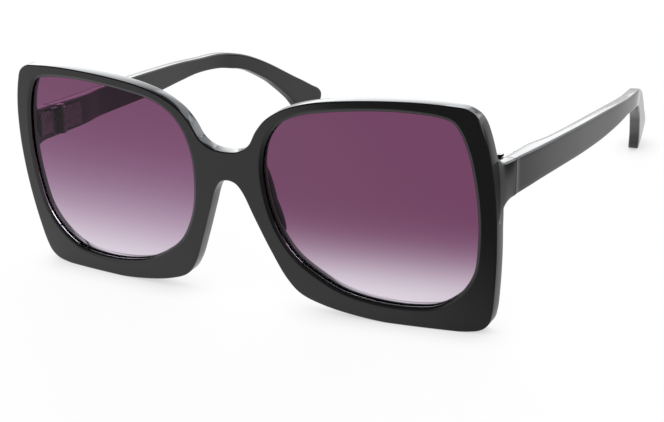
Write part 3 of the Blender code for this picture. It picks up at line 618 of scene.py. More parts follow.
@dataclass(frozen=True)
class FaceShape:
    """The outline and the curve of the front, shared by the rims, lenses and nose pads.

    The face wraps back at the sides with a sum of a square and a fourth power of x, is crowned
    with a square of z, and leans forwards in a straight line. hinge is the left fold axis.
    """

    hinge: Triple
    lens_width: float = 0.0582
    lens_height: float = 0.0541
    bridge_width: float = 0.0206
    side_rim: float = 0.0037
    top_rim: float = 0.0028
    bottom_rim: float = 0.0046
    wrap_sag: float = 0.0053
    wrap_square_share: float = 0.71
    crown_sag: float = 0.0014
    crown_centre_share: float = 0.455
    lean_deg: float = 3.5
    depth: float = 0.0046
    top_depth: float = 0.0037
    outer_top_depth: float = 0.0033
    top_depth_fade: Pair = (0.40, 0.76)
    depth_growth: float = 0.005
    hinge_back: float = 0.0138
    nose_splay: float = 0.05
    splay_fade: Pair = (1.3, 2.0)
    end_flare: float = 0.07
    flare_side: Pair = (0.89, 0.96)
    flare_rise: Pair = (0.45, 0.60)
    flare_fall: Pair = (0.66, 0.80)
    let_out: Triple = (0.0008, 0.00045, 0.00015)
    steps: int = 12
    closing_points: int = 12
    past_peak: int = 3
    overrun: float = 0.002
    lens_centre_shares: Pair = (0.49, 0.50)
    bridge_top: tuple[Pair, ...] = (
        (0.0, 0.715), (0.41, 0.724), (0.72, 0.758), (0.95, 0.821))
    rim_outline: tuple[Pair, ...] = (
        (0.040, 0.876), (0.124, 0.927), (0.238, 0.963), (0.431, 0.989), (0.674, 1.0),
        (0.835, 0.993), (0.897, 0.984), (0.936, 0.958), (0.958, 0.907), (0.985, 0.795),
        (1.0, 0.650), (1.003, 0.520), (0.996, 0.358), (0.978, 0.187), (0.963, 0.096),
        (0.946, 0.048), (0.914, 0.018), (0.860, 0.004), (0.738, -0.003), (0.593, -0.004),
        (0.399, 0.010), (0.221, 0.044), (0.121, 0.086), (0.066, 0.150))
    nose_side: tuple[Pair, ...] = (
        (1.02, 0.283), (0.64, 0.439), (0.40, 0.538), (0.22, 0.575), (0.0, 0.585))
    opening_points: tuple[Pair, ...] = (
        (0.000, 0.600), (0.006, 0.705), (0.036, 0.806), (0.095, 0.887), (0.194, 0.943),
        (0.364, 0.978), (0.596, 1.0), (0.751, 0.998), (0.854, 0.985), (0.905, 0.963),
        (0.936, 0.920), (0.966, 0.835), (0.988, 0.710), (1.0, 0.543), (0.993, 0.384),
        (0.969, 0.233), (0.916, 0.132), (0.850, 0.065), (0.775, 0.020), (0.665, 0.001),
        (0.562, 0.000), (0.450, 0.013), (0.338, 0.044), (0.235, 0.104), (0.132, 0.190),
        (0.064, 0.301), (0.022, 0.423))

    @property
    def half_bridge(self) -> float:
        """Return half the distance between the lens openings."""
        return self.bridge_width / 2

    @property
    def half_width(self) -> float:
        """Return half the width of the front."""
        return self.half_bridge + self.lens_width + self.side_rim

    @property
    def height(self) -> float:
        """Return the height of the front."""
        return self.bottom_rim + self.lens_height + self.top_rim

    def sag(self, x: np.ndarray, z: np.ndarray) -> np.ndarray:
        """Return how far behind the plane of the nose the front face lies.

        Args:
            x: Places across the face.
            z: Heights of the same places.

        Returns:
            A distance along +Y for each place.
        """
        across = np.asarray(x) / self.half_width
        rise = np.asarray(z) - self.crown_centre_share * self.height
        wrap = self.wrap_sag * (self.wrap_square_share * across**2
                                + (1 - self.wrap_square_share) * across**4)
        lean = math.tan(math.radians(self.lean_deg)) * rise
        return wrap + self.crown_sag * (rise / (self.height / 2))**2 - lean

    def on_face(self, loop: np.ndarray, depth: np.ndarray | float) -> np.ndarray:
        """Return 3-D points of a front-view loop at a depth behind the front face.

        Args:
            loop: Points as (..., 2), across and up.
            depth: Depths along +Y, one to a point or one for all.

        Returns:
            The points as (..., 3).
        """
        start = self.hinge[1] - self.sag(self.half_width, self.hinge[2]) - self.hinge_back
        x, z = loop[..., 0], loop[..., 1]
        return np.stack([x, start + self.sag(x, z) + depth, z], axis=-1)

    def outline_points(self) -> np.ndarray:
        """Return one half's outline points, from the bridge's top round to the nose arch.

        Returns:
            The points, as (points, 2).
        """
        span = self.lens_width + self.side_rim
        near = np.array([self.half_bridge, self.height])
        top = np.array(self.bridge_top) * near
        rim = np.array(self.rim_outline) * (span, self.height) + (self.half_bridge, 0)
        nose = np.array(self.nose_side) * near
        return np.vstack([top, rim, nose])

    def half_outline(self) -> tuple[np.ndarray, np.ndarray]:
        """Return the half outline as a smooth curve, and its outward normals.

        Returns:
            The curve and its normals, each as (points, 2).
        """
        flip = np.array([-1.0, 1.0])
        points = self.outline_points()
        around = np.vstack([points[2:0:-1] * flip, points, points[-2:-4:-1] * flip])
        curve = smooth_curve(around, self.steps, closed=False)
        along = np.gradient(curve, axis=0)
        normals = np.stack([-along[:, 1], along[:, 0]], axis=1)
        normals /= np.linalg.norm(normals, axis=1)[:, None]
        kept = slice(2 * self.steps, len(curve) - 2 * self.steps)
        curve = curve[kept]
        curve[:, 1] = np.maximum(curve[:, 1], 0.0)
        return curve, normals[kept]

    def opening(self) -> np.ndarray:
        """Return the front edge of the left lens opening.

        Returns:
            The closed loop, let out a little where it faces up, to the nose or to the side.
        """
        points = (np.array(self.opening_points) * (self.lens_width, self.lens_height)
                  + (self.half_bridge, self.bottom_rim))
        loop = smooth_curve(points, self.steps, closed=True)
        out = edge_normals(loop)
        facing = np.clip([out[:, 1], -out[:, 0], out[:, 0]], 0.0, None)**2
        return loop + out * (np.array(self.let_out) @ facing)[:, None]

    def lens_centre(self) -> np.ndarray:
        """Return the middle of the left lens."""
        return (np.array(self.lens_centre_shares) * (self.lens_width, self.lens_height)
                + (self.half_bridge, self.bottom_rim))

    def loop_towards(self, loop: np.ndarray, direction: np.ndarray) -> np.ndarray:
        """Return the loop's points in the given directions from the lens centre, by angle.

        Args:
            loop: A closed loop round the lens centre.
            direction: Angles from the lens centre, in radians, in any shape.

        Returns:
            One point to each angle, as (..., 2).
        """
        centre = self.lens_centre()
        spoke = loop - centre
        angle = np.arctan2(spoke[:, 1], spoke[:, 0])
        order = np.argsort(angle)
        reach = np.hypot(spoke[:, 0], spoke[:, 1])[order]
        radius = np.interp(direction, angle[order], reach, period=2 * math.pi)
        return centre + radius[..., None] * np.stack([np.cos(direction), np.sin(direction)],
                                                     axis=-1)

    def depth_at(self, loop: np.ndarray) -> np.ndarray:
        """Return the rim's depth: slim along the top edge, full a little way below it.

        Args:
            loop: Points of the front view, as (points, 2).

        Returns:
            One depth to each point.
        """
        points = self.outline_points()
        upper = points[:int(np.argmax(points[:, 1])) + self.past_peak]
        top = np.interp(np.abs(loop[:, 0]), upper[:, 0], upper[:, 1])
        growth = smooth_step(top - loop[:, 1], 0.0, self.depth_growth)
        near, far = (self.half_width * share for share in self.top_depth_fade)
        slim = self.top_depth + ((self.outer_top_depth - self.top_depth)
                                 * smooth_step(np.abs(loop[:, 0]), near, far))
        return slim + (self.depth - slim) * growth

    def lean_at(self, loop: np.ndarray) -> np.ndarray:
        """Return how strongly the outer wall leans inwards with depth.

        It leans away from the nose, and flares out, as a negative lean, beside the end piece.

        Args:
            loop: Points of the outer wall, as (points, 2).

        Returns:
            How far each point moves inwards for each metre of depth.
        """
        x, z = np.abs(loop[:, 0]), loop[:, 1]
        near, far = (self.half_bridge * share for share in self.splay_fade)
        arch = self.height * self.nose_side[-1][1]
        splay = (1 - smooth_step(x, near, far)) * (1 - smooth_step(z, arch,
                                                                   arch + self.depth_growth))
        start, end = (self.half_width * share for share in self.flare_side)
        (low, high), (falling, gone) = np.array([self.flare_rise, self.flare_fall]) * self.height
        beside = smooth_step(x, start, end) * smooth_step(z, low, high)
        beside *= 1 - smooth_step(z, falling, gone)
        return self.nose_splay * splay - self.end_flare * beside


@dataclass
class Front:
    """The front: two rims, bridge and nose sides in one moulding, with two end pieces.

    A section runs over the front face, round the outer wall and back over the rear face, and
    returns through the opening, where it dips into the lens groove and rises over a bevelled lip.
    """

    face: FaceShape
    edge_radius: float = 0.00035
    rear_radius: float = 0.0004
    lip_radius: float = 0.00012
    lip_inset: float = 0.00085
    lip_bottom_inset: float = 0.0012
    lip_front: float = 0.0005
    lip_thickness: float = 0.00025
    rear_lip: float = 0.0003
    rear_inset: float = 0.0002
    rear_bottom_inset: float = 0.0009
    seat: float = 0.0006
    gap: float = 0.0003
    lens_thickness: float = 0.0014
    lip_roll: Pair = (0.3, 0.12)
    bevel_shares: tuple[float, ...] = (0.92, 0.5, 0.25)
    arc_steps: int = 6
    face_rows: int = 7

    @property
    def groove_front(self) -> float:
        """Return the depth at which the lens groove begins."""
        return self.lip_front + self.lip_thickness

    @property
    def groove_rear(self) -> float:
        """Return the depth at which the lens groove ends."""
        return self.groove_front + self.lens_thickness + 2 * self.gap

    @staticmethod
    def by_facing(inward: np.ndarray, inset: float, bottom_inset: float) -> np.ndarray:
        """Return an inset for each place on the opening, which grows where the inside faces up.

        Args:
            inward: Unit normals of the opening, pointing into it.
            inset: The inset where the inside faces down or sideways.
            bottom_inset: The inset where it faces straight up.

        Returns:
            One inset to each place, as a column.
        """
        return inset + (bottom_inset - inset) * np.clip(inward[:, 1:], 0.0, None)**2

    def half_mesh(self) -> bpy.types.Mesh:
        """Return one half: rows of the section, each a loop round the opening.

        Returns:
            The half, closed, and reaching a little past the middle plane.
        """
        face = self.face
        outer, out = face.half_outline()
        closing = np.linspace(outer[-1], outer[0], face.closing_points + 2)[1:-1]
        guide = np.vstack([outer, closing])
        spoke = guide - face.lens_centre()
        opening = face.loop_towards(face.opening(), np.arctan2(spoke[:, 1], spoke[:, 0]))
        outer = np.vstack([outer, closing - (face.overrun, 0.0)])
        out = np.vstack([out, np.zeros_like(closing)])
        inward = -edge_normals(opening)
        lean = face.lean_at(outer)[:, None]
        deep = face.depth_at(outer)
        inset = self.by_facing(inward, self.lip_inset, self.lip_bottom_inset)
        lip = opening + inward * inset
        rear = opening + inward * self.by_facing(inward, self.rear_inset, self.rear_bottom_inset)
        deep_rear = face.depth_at(rear)
        groove = lip - inward * (self.seat + self.gap)
        turn = arc(self.arc_steps)

        def wall(inset: float, depth: np.ndarray | float) -> np.ndarray:
            """Return the outer outline drawn in by an inset and by the wall's lean."""
            depth = np.broadcast_to(np.asarray(depth, float), deep.shape)
            return face.on_face(outer - out * (inset + lean * depth[:, None]), depth)

        def between(start: np.ndarray, end: np.ndarray, depth_start: np.ndarray,
                    depth_end: np.ndarray) -> list[np.ndarray]:
            """Return inner rows over the face or back, from one loop to another.

            Args:
                start: The loop to start from.
                end: The loop to end on.
                depth_start: The first loop's depths.
                depth_end: The last loop's depths.

            Returns:
                The rows between the two loops, placed on the face.
            """
            shares = np.linspace(0, 1, self.face_rows + 2)[1:-1]
            return [face.on_face(start * (1 - s) + end * s, depth_start * (1 - s) + depth_end * s)
                    for s in shares]

        soft = self.lip_radius
        none = np.zeros_like(deep)
        rows = [face.on_face(opening - inward * soft, none)]
        rows += between(opening - inward * soft, outer - out * self.edge_radius, none, none)
        rows += [wall(self.edge_radius * (1 - math.sin(a)), self.edge_radius * (1 - math.cos(a)))
                 for a in turn]
        round_off = self.rear_radius
        rows += [wall(round_off * (1 - math.cos(a)), deep - round_off * (1 - math.sin(a)))
                 for a in turn]
        back = outer - out * (round_off + lean * deep[:, None])
        rows += between(back, rear - inward * soft, deep, deep_rear)
        rows += [face.on_face(rear - inward * soft * (1 - math.sin(a)),
                              deep_rear - soft * (1 - math.cos(a))) for a in turn[::2]]
        rows += [face.on_face(lip, self.groove_rear + self.rear_lip),
                 face.on_face(lip, self.groove_rear), face.on_face(groove, self.groove_rear),
                 face.on_face(groove, self.groove_front), face.on_face(lip, self.groove_front),
                 face.on_face(lip, self.lip_front + soft / 2)]
        rows += [face.on_face(opening + inward * inset * share, self.lip_front * share)
                 for share in self.bevel_shares]
        across, sunk = (soft * share for share in self.lip_roll)
        rows.append(face.on_face(opening + inward * across, sunk + none))
        return tube_mesh("half_front", np.stack(rows, axis=1), closed=True)

    def mesh(self, end_piece: EndPiece) -> bpy.types.Mesh:
        """Return the whole front: both halves meet in the middle plane, with the end pieces.

        Args:
            end_piece: The left end piece.

        Returns:
            One closed mesh.
        """
        item = add_object("front_blank", self.half_mesh())
        mirror = item.modifiers.new("mirror", "MIRROR")
        mirror.use_axis[0] = True
        mirror.use_bisect_axis[0] = True
        mirror.merge_threshold = MERGE_DISTANCE
        mirror.bisect_threshold = MERGE_DISTANCE
        shape = end_piece.mesh()
        blocks = [add_object(f"{side.label}_end_blank", mirrored(shape, side, "end_blank"))
                  for side in Side]
        for block in blocks:
            union = item.modifiers.new(block.name, "BOOLEAN")
            union.operation = "UNION"
            union.solver = "EXACT"
            union.object = block
        mesh = finished_mesh(item, "front")
        for block in blocks:
            bpy.data.objects.remove(block)
        return close_up(mesh)


@dataclass(frozen=True)
class HingeFrame:
    """Axes of the left hinge: x outwards from the axis, y along the arm, z up its pin."""

    origin: Triple
    drop_deg: float = 6.8
    x_inset: float = 0.0044
    outer_flare: float = 0.0009
    temple_thickness: float = 0.0034
    temple_height: float = 0.0088
    butt_setback: float = 0.0016
    gap: float = 0.0003

    @property
    def outer_x(self) -> float:
        """Return the temple's outer face, measured from the hinge axis."""
        return self.x_inset + self.outer_flare

    @property
    def inner_x(self) -> float:
        """Return the flat inner face behind the hinge leaves, measured from the axis."""
        return self.outer_x - self.temple_thickness

    def place(self, points: np.ndarray) -> np.ndarray:
        """Return world points for points in the hinge's axes: a turn about X, then a shift.

        Args:
            points: Points in the hinge's axes, as (..., 3).

        Returns:
            The same points in the world.
        """
        angle = -math.radians(self.drop_deg)
        x, y, z = points[..., 0], points[..., 1], points[..., 2]
        turned = np.stack([x, y * math.cos(angle) - z * math.sin(angle),
                           y * math.sin(angle) + z * math.cos(angle)], axis=-1)
        return turned + self.origin


def rounded_section(width: np.ndarray, height: np.ndarray, radius: np.ndarray, steps: int,
                    side_rows: int) -> np.ndarray:
    """Return rounded rectangles from (0, 0) to (width, height), counter-clockwise.

    Args:
        width: Widths, one per section.
        height: Heights, one per section.
        radius: Corner radii, one per section.
        steps: Points to a corner's quarter turn, less one.
        side_rows: Extra points along each upright side.

    Returns:
        Points as an array of (sections, points, 2).
    """
    turn = arc(steps)
    cosine, sine = np.cos(turn), np.sin(turn)
    w, h, r = (np.asarray(value, float)[:, None] for value in (width, height, radius))
    share = np.linspace(0, 1, side_rows + 2)[1:-1]
    rise = r + (h - 2 * r) * share
    right = np.stack([w - r + r * sine, r - r * cosine], axis=-1)
    top = np.stack([w - r + r * cosine, h - r + r * sine], axis=-1)
    left = np.stack([r - r * sine, h - r + r * cosine], axis=-1)
    low = np.stack([r - r * cosine, r - r * sine], axis=-1)
    up = np.stack([np.broadcast_to(w, rise.shape), rise], axis=-1)
    down = np.stack([np.zeros_like(rise), rise[:, ::-1]], axis=-1)
    return np.concatenate([right, up, top, left, down, low], axis=1)


@dataclass
class EndPiece:
    """The end piece that carries the hinge: it swells forwards from its butt face to the rim."""

    hinge: HingeFrame
    face: FaceShape
    length: float = 0.0096
    edge_radius: float = 0.0006
    stations: tuple[Quad, ...] = (
        (0.0, -1.18, 1.0, 0.0), (0.27, -1.21, 0.98, 0.24), (0.48, -1.32, 0.98, 0.42),
        (0.64, -1.50, 1.04, 0.56), (0.76, -1.80, 1.22, 0.66), (1.0, -2.60, 1.40, 1.60))
    steps: int = 8
    corner_steps: int = 5
    side_rows: int = 12
    flush: Pair = (0.0, 0.68)
    sink: Pair = (0.92, 1.0)
    proud: float = 0.00004

    def drawn_to_wall(self, rings: np.ndarray, share: np.ndarray) -> np.ndarray:
        """Draw the outer side to the rim's outer wall, so that the two run on as one face.

        Args:
            rings: Placed rings, as (sections, points, 3).
            share: How far forwards of the butt face each ring lies.

        Returns:
            The rings, flush with the wall near the front end and just under it at the end.
        """
        outline, _ = self.face.half_outline()
        side = outline[outline[:, 0] > self.face.flare_side[0] * self.face.half_width]
        side = side[np.argsort(side[:, 1])]
        x, y, z = np.moveaxis(rings, -1, 0)
        start = np.interp(z, side[:, 1], self.face.on_face(side, 0.0)[:, 1])
        lean = np.interp(z, side[:, 1], self.face.lean_at(side))
        rise = self.proud * (1 - 2 * smooth_step(share, *self.sink))
        wall = np.interp(z, side[:, 1], side[:, 0]) - lean * (y - start) + rise[:, None]
        outer, inner = x.max(axis=1, keepdims=True), x.min(axis=1, keepdims=True)
        pull = smooth_step(share, *self.flush)[:, None] * (x - inner) / (outer - inner)
        return np.stack([x + pull * (wall - outer), y, z], axis=-1)

    def mesh(self) -> bpy.types.Mesh:
        """Return the left end piece, a loft of rounded rectangles with a rounded butt edge.

        Returns:
            The end piece, closed and in place.
        """
        hinge = self.hinge
        share, bottom, top, slope = smooth_curve(self.stations, self.steps, closed=False).T
        half = hinge.temple_height / 2
        along = -hinge.butt_setback - hinge.gap - share * self.length
        outer = hinge.outer_x - slope * hinge.outer_flare
        radius = np.full_like(along, self.edge_radius)
        section = rounded_section(outer - hinge.inner_x, (top - bottom) * half, radius,
                                  self.corner_steps, self.side_rows)
        rings = np.stack([section[..., 0] + hinge.inner_x,
                          np.broadcast_to(along[:, None], section.shape[:2]),
                          section[..., 1] + (bottom * half)[:, None]], axis=-1)
        return tube_mesh("end_piece", self.drawn_to_wall(hinge.place(rings), share), closed=False)


@dataclass
class Lens:
    """A lens: a curved sheet of even thickness that fills the groove's outline."""

    face: FaceShape
    front: Front
    cells: int = 96

    def mesh(self) -> bpy.types.Mesh:
        """Return the left lens.

        A square grid is drawn out so that each square ring becomes a share of the outline: the
        direction stays, and the reach is the larger of the two grid coordinates.

        Returns:
            The lens, closed and in place.
        """
        front = self.front
        opening = self.face.opening()
        inward = -edge_normals(opening)
        inset = front.by_facing(inward, front.lip_inset, front.lip_bottom_inset)
        outline = opening + inward * (inset - front.seat)
        line = np.linspace(-1, 1, self.cells + 1)
        u, v = np.meshgrid(line, line)
        share = np.maximum(np.abs(u), np.abs(v))
        centre = self.face.lens_centre()
        edge = self.face.loop_towards(outline, np.arctan2(v, u))
        flat = centre + (edge - centre) * share[..., None]
        recess = front.groove_front + front.gap
        layers = [self.face.on_face(flat, recess),
                  self.face.on_face(flat, recess + front.lens_thickness)]
        count = self.cells + 1
        index = np.arange(count * count).reshape(count, count)
        quads = np.stack([index[:-1, :-1], index[:-1, 1:], index[1:, 1:], index[1:, :-1]],
                         axis=-1).reshape(-1, 4)
        rim = np.concatenate([index[0, :-1], index[:-1, -1], index[-1, :0:-1], index[:0:-1, 0]])
        ahead = np.roll(rim, -1)
        back = count * count
        strip = np.stack([rim, ahead, ahead + back, rim + back], axis=-1)
        faces = np.concatenate([quads, quads + back, strip]).tolist()
        mesh = bpy.data.meshes.new("lens")
        mesh.from_pydata(np.concatenate([layer.reshape(-1, 3) for layer in layers]).tolist(),
                         [], faces)
        return close_up(mesh)


@dataclass
class NosePad:
    """A nose pad: a domed strip bonded along the back of the nose side, splayed to the nose."""

    face: FaceShape
    width: float = 0.0042
    depth: float = 0.0028
    edge_inset: float = 0.0007
    top_share: float = 0.66
    turn_share: float = 0.47
    turn_slope: float = 0.12
    bottom_share: float = 0.32
    splay: float = 0.20
    end_share: float = 0.25
    gap: float = 0.0003
    stations: int = 40
    dome_steps: int = 18

    def mesh(self) -> bpy.types.Mesh:
        """Return the left pad: half circles across the strip that swell along a half circle.

        Returns:
            The pad, closed and in place.
        """
        face = self.face
        outline = face.half_outline()[0]
        nose = outline[int(np.argmax(outline[:, 0])):]
        nose = nose[nose[:, 0] < face.half_bridge * face.splay_fade[1]]
        order = np.argsort(nose[:, 1])
        levels = face.height * np.linspace(self.top_share, self.bottom_share, self.stations)
        turn_height = face.height * self.turn_share
        nearest = np.interp(np.minimum(levels, turn_height), nose[order, 1], nose[order, 0])
        climb = np.clip(levels - turn_height, 0.0, None)
        edge = np.stack([nearest - self.turn_slope * climb, levels], axis=1)
        along = np.gradient(edge, axis=0)
        along /= np.linalg.norm(along, axis=1)[:, None]
        away = np.stack([-along[:, 1], along[:, 0]], axis=1)
        away *= np.sign(away[:, :1])
        travel = np.linspace(-1, 1, self.stations)
        swell = self.end_share + (1 - self.end_share) * np.sqrt(np.clip(1 - travel**2, 0, 1))
        turn = np.linspace(0, math.pi, self.dome_steps)
        start = self.edge_inset + self.width * (1 - swell) / 2 + face.nose_splay * face.depth
        shift = start[:, None] + self.width * swell[:, None] * (1 - np.cos(turn)) / 2
        rise = self.depth * swell[:, None] * np.sin(turn)
        spots = edge[:, None] + away[:, None] * (shift + self.splay * rise)[..., None]
        seat = edge[:, None] + away[:, None] * shift[..., None]
        deep = face.depth_at(seat.reshape(-1, 2)).reshape(shift.shape) + self.gap
        base = face.on_face(seat, deep)[..., 1]
        rings = np.stack([spots[..., 0], base + rise, spots[..., 1]], axis=-1)
        return tube_mesh("nose_pad", rings, closed=False)


@dataclass
class Temple:
    """A temple: a rounded bar that tapers to the bend and drops to a broad, softened tip.

    Ribs join the upper edge to the lower edge in side view. Each carries a rounded rectangle,
    and the plan curve bows it outwards along the arm and turns it inwards down the tip.
    """

    hinge: HingeFrame
    reach: float = 0.1473
    landing_share: float = 0.8994
    edge_radius: float = 0.0006
    arm_flare: float = 0.0040
    toe_in: float = 0.0102
    twist_share: float = 0.8
    twist_rise: Pair = (0.55, 0.80)
    seat_fade: Pair = (0.075, 0.17)
    edge_limit: float = 0.25
    end_radius: float = 0.0012
    butt_shares: Pair = (1.0, -1.17)
    arm_ribs: tuple[Quad, ...] = (
        (0.04, 1.0, 0.04, -1.10), (0.095, 1.01, 0.095, -1.01), (0.183, 1.04, 0.183, -0.90),
        (0.285, 1.07, 0.285, -0.81), (0.387, 1.09, 0.387, -0.66), (0.482, 1.08, 0.485, -0.36),
        (0.556, 1.01, 0.556, -0.14))
    tip_ribs: tuple[Quad, ...] = (
        (0.638, 0.178, 0.639, -0.036), (0.677, 0.152, 0.674, -0.070),
        (0.715, 0.106, 0.705, -0.103), (0.754, 0.031, 0.734, -0.157),
        (0.792, -0.063, 0.761, -0.232), (0.828, -0.166, 0.788, -0.316),
        (0.863, -0.275, 0.812, -0.402), (0.899, -0.386, 0.835, -0.505),
        (0.933, -0.485, 0.857, -0.609), (0.965, -0.586, 0.879, -0.726),
        (0.988, -0.656, 0.894, -0.830), (0.996, -0.728, 0.906, -0.917),
        (0.991, -0.818, 0.918, -0.974), (0.971, -0.907, 0.937, -0.973))
    flare: tuple[Pair, ...] = (
        (0.0, 0.0), (0.083, 0.27), (0.166, 0.5), (0.26, 0.72), (0.368, 0.88), (0.485, 1.0),
        (0.553, 0.94))
    toe: tuple[Pair, ...] = (
        (0.629, -0.284), (0.692, -0.100), (0.777, 0.118), (0.924, 0.461), (1.044, 0.735),
        (1.140, 1.0))
    steps: int = 10
    corner_steps: int = 5
    side_rows: int = 6

    def ribs(self) -> np.ndarray:
        """Return the ribs as (ribs, top and bottom, along and up), from the butt face back.

        Returns:
            The ribs, many to each span between the listed ones.
        """
        slope = math.radians(self.hinge.drop_deg)
        drop = (self.hinge.origin[2] - self.landing_share * self.reach * math.sin(slope))
        drop /= math.cos(slope)
        half = self.hinge.temple_height / 2
        start = -self.hinge.butt_setback
        scale = np.array([self.reach, half, self.reach, half])
        arm = np.array(self.arm_ribs) * scale
        tip = np.array(self.tip_ribs) * (self.reach, drop, self.reach, drop)
        top, low = self.butt_shares
        ribs = np.vstack([[(start, top * half, start, low * half)], arm, tip])
        return smooth_curve(ribs, self.steps, closed=False).reshape(-1, 2, 2)

    def plan(self, along: np.ndarray) -> np.ndarray:
        """Return how far the outer face lies outside its place at the hinge.

        Args:
            along: Distances behind the hinge axis.

        Returns:
            An outward distance for each.
        """
        bowed = np.array(self.flare) * (self.reach, self.arm_flare)
        turned = np.array(self.toe) * (self.reach, -self.toe_in)
        curve = smooth_curve(np.vstack([bowed, turned]), self.steps, closed=False)
        return np.interp(along, curve[:, 0], curve[:, 1])

    def mesh(self) -> bpy.types.Mesh:
        """Return the left temple, with its tip's end closed by shrinking rings.

        Returns:
            The temple, closed and in place.
        """
        thickness = self.hinge.temple_thickness
        top, bottom = self.ribs().transpose(1, 0, 2)
        span = top - bottom
        height = np.linalg.norm(span, axis=1)
        up = span / height[:, None]
        radius = np.minimum(self.edge_radius, height * self.edge_limit)
        run = np.linalg.norm(np.diff((top + bottom) / 2, axis=0), axis=1)
        to_end = np.append(np.cumsum(run[::-1])[::-1], 0.0)
        over = 1 - np.clip(to_end / self.end_radius, 0.0, 1.0)
        drawn_in = self.end_radius * (1 - np.sqrt(1 - over**2))
        section = rounded_section(thickness - 2 * drawn_in, height - 2 * drawn_in, radius,
                                  self.corner_steps, self.side_rows)
        section += drawn_in[:, None, None]
        inset = section[..., 0]
        flat = bottom[:, None] + up[:, None] * section[..., 1:]
        middle = (top[:, 0] + bottom[:, 0]) / 2
        near, far = (share * self.reach for share in self.seat_fade)
        seat = 1 - smooth_step(middle, near, far)
        low, high = (share * self.reach for share in self.twist_rise)
        twist = self.twist_share * smooth_step(middle, low, high)
        y, h = flat[..., 0], flat[..., 1]
        slope = math.radians(self.hinge.drop_deg)
        floor = (y * math.sin(slope) - self.hinge.origin[2]) / math.cos(slope)
        plan = self.plan(y - h * twist[:, None])
        h = np.maximum(h, floor)
        share = inset / thickness
        bow = plan * (share + (1 - share) * (1 - seat[:, None]))
        rings = np.stack([self.hinge.inner_x + inset + bow, y, h], axis=-1)
        return tube_mesh("temple", self.hinge.place(rings), closed=False)


# Studio


@dataclass(frozen=True)
class SoftBox:
    """A rectangular lamp at a place, aimed at the object, with a radiance where 1 is white."""

    name: str
    location: Triple
    size: Pair
    radiance: float
    colour: Triple = WHITE
    target: Triple = (0.0, 0.0, 0.02)

    def build(self) -> None:
        """Add the lamp. Its power is radiance times pi times its area."""
        light = bpy.data.lights.new(self.name, "AREA")
        light.shape = "RECTANGLE"
        light.size, light.size_y = self.size
        light.energy = self.radiance * math.pi * self.size[0] * self.size[1]
        light.color = self.colour
        lamp = bpy.data.objects.new(self.name, light)
        bpy.context.scene.collection.objects.link(lamp)
        lamp.location = self.location
        aim = Vector(self.target) - Vector(self.location)
        lamp.rotation_euler = aim.to_track_quat("-Z", "Y").to_euler()


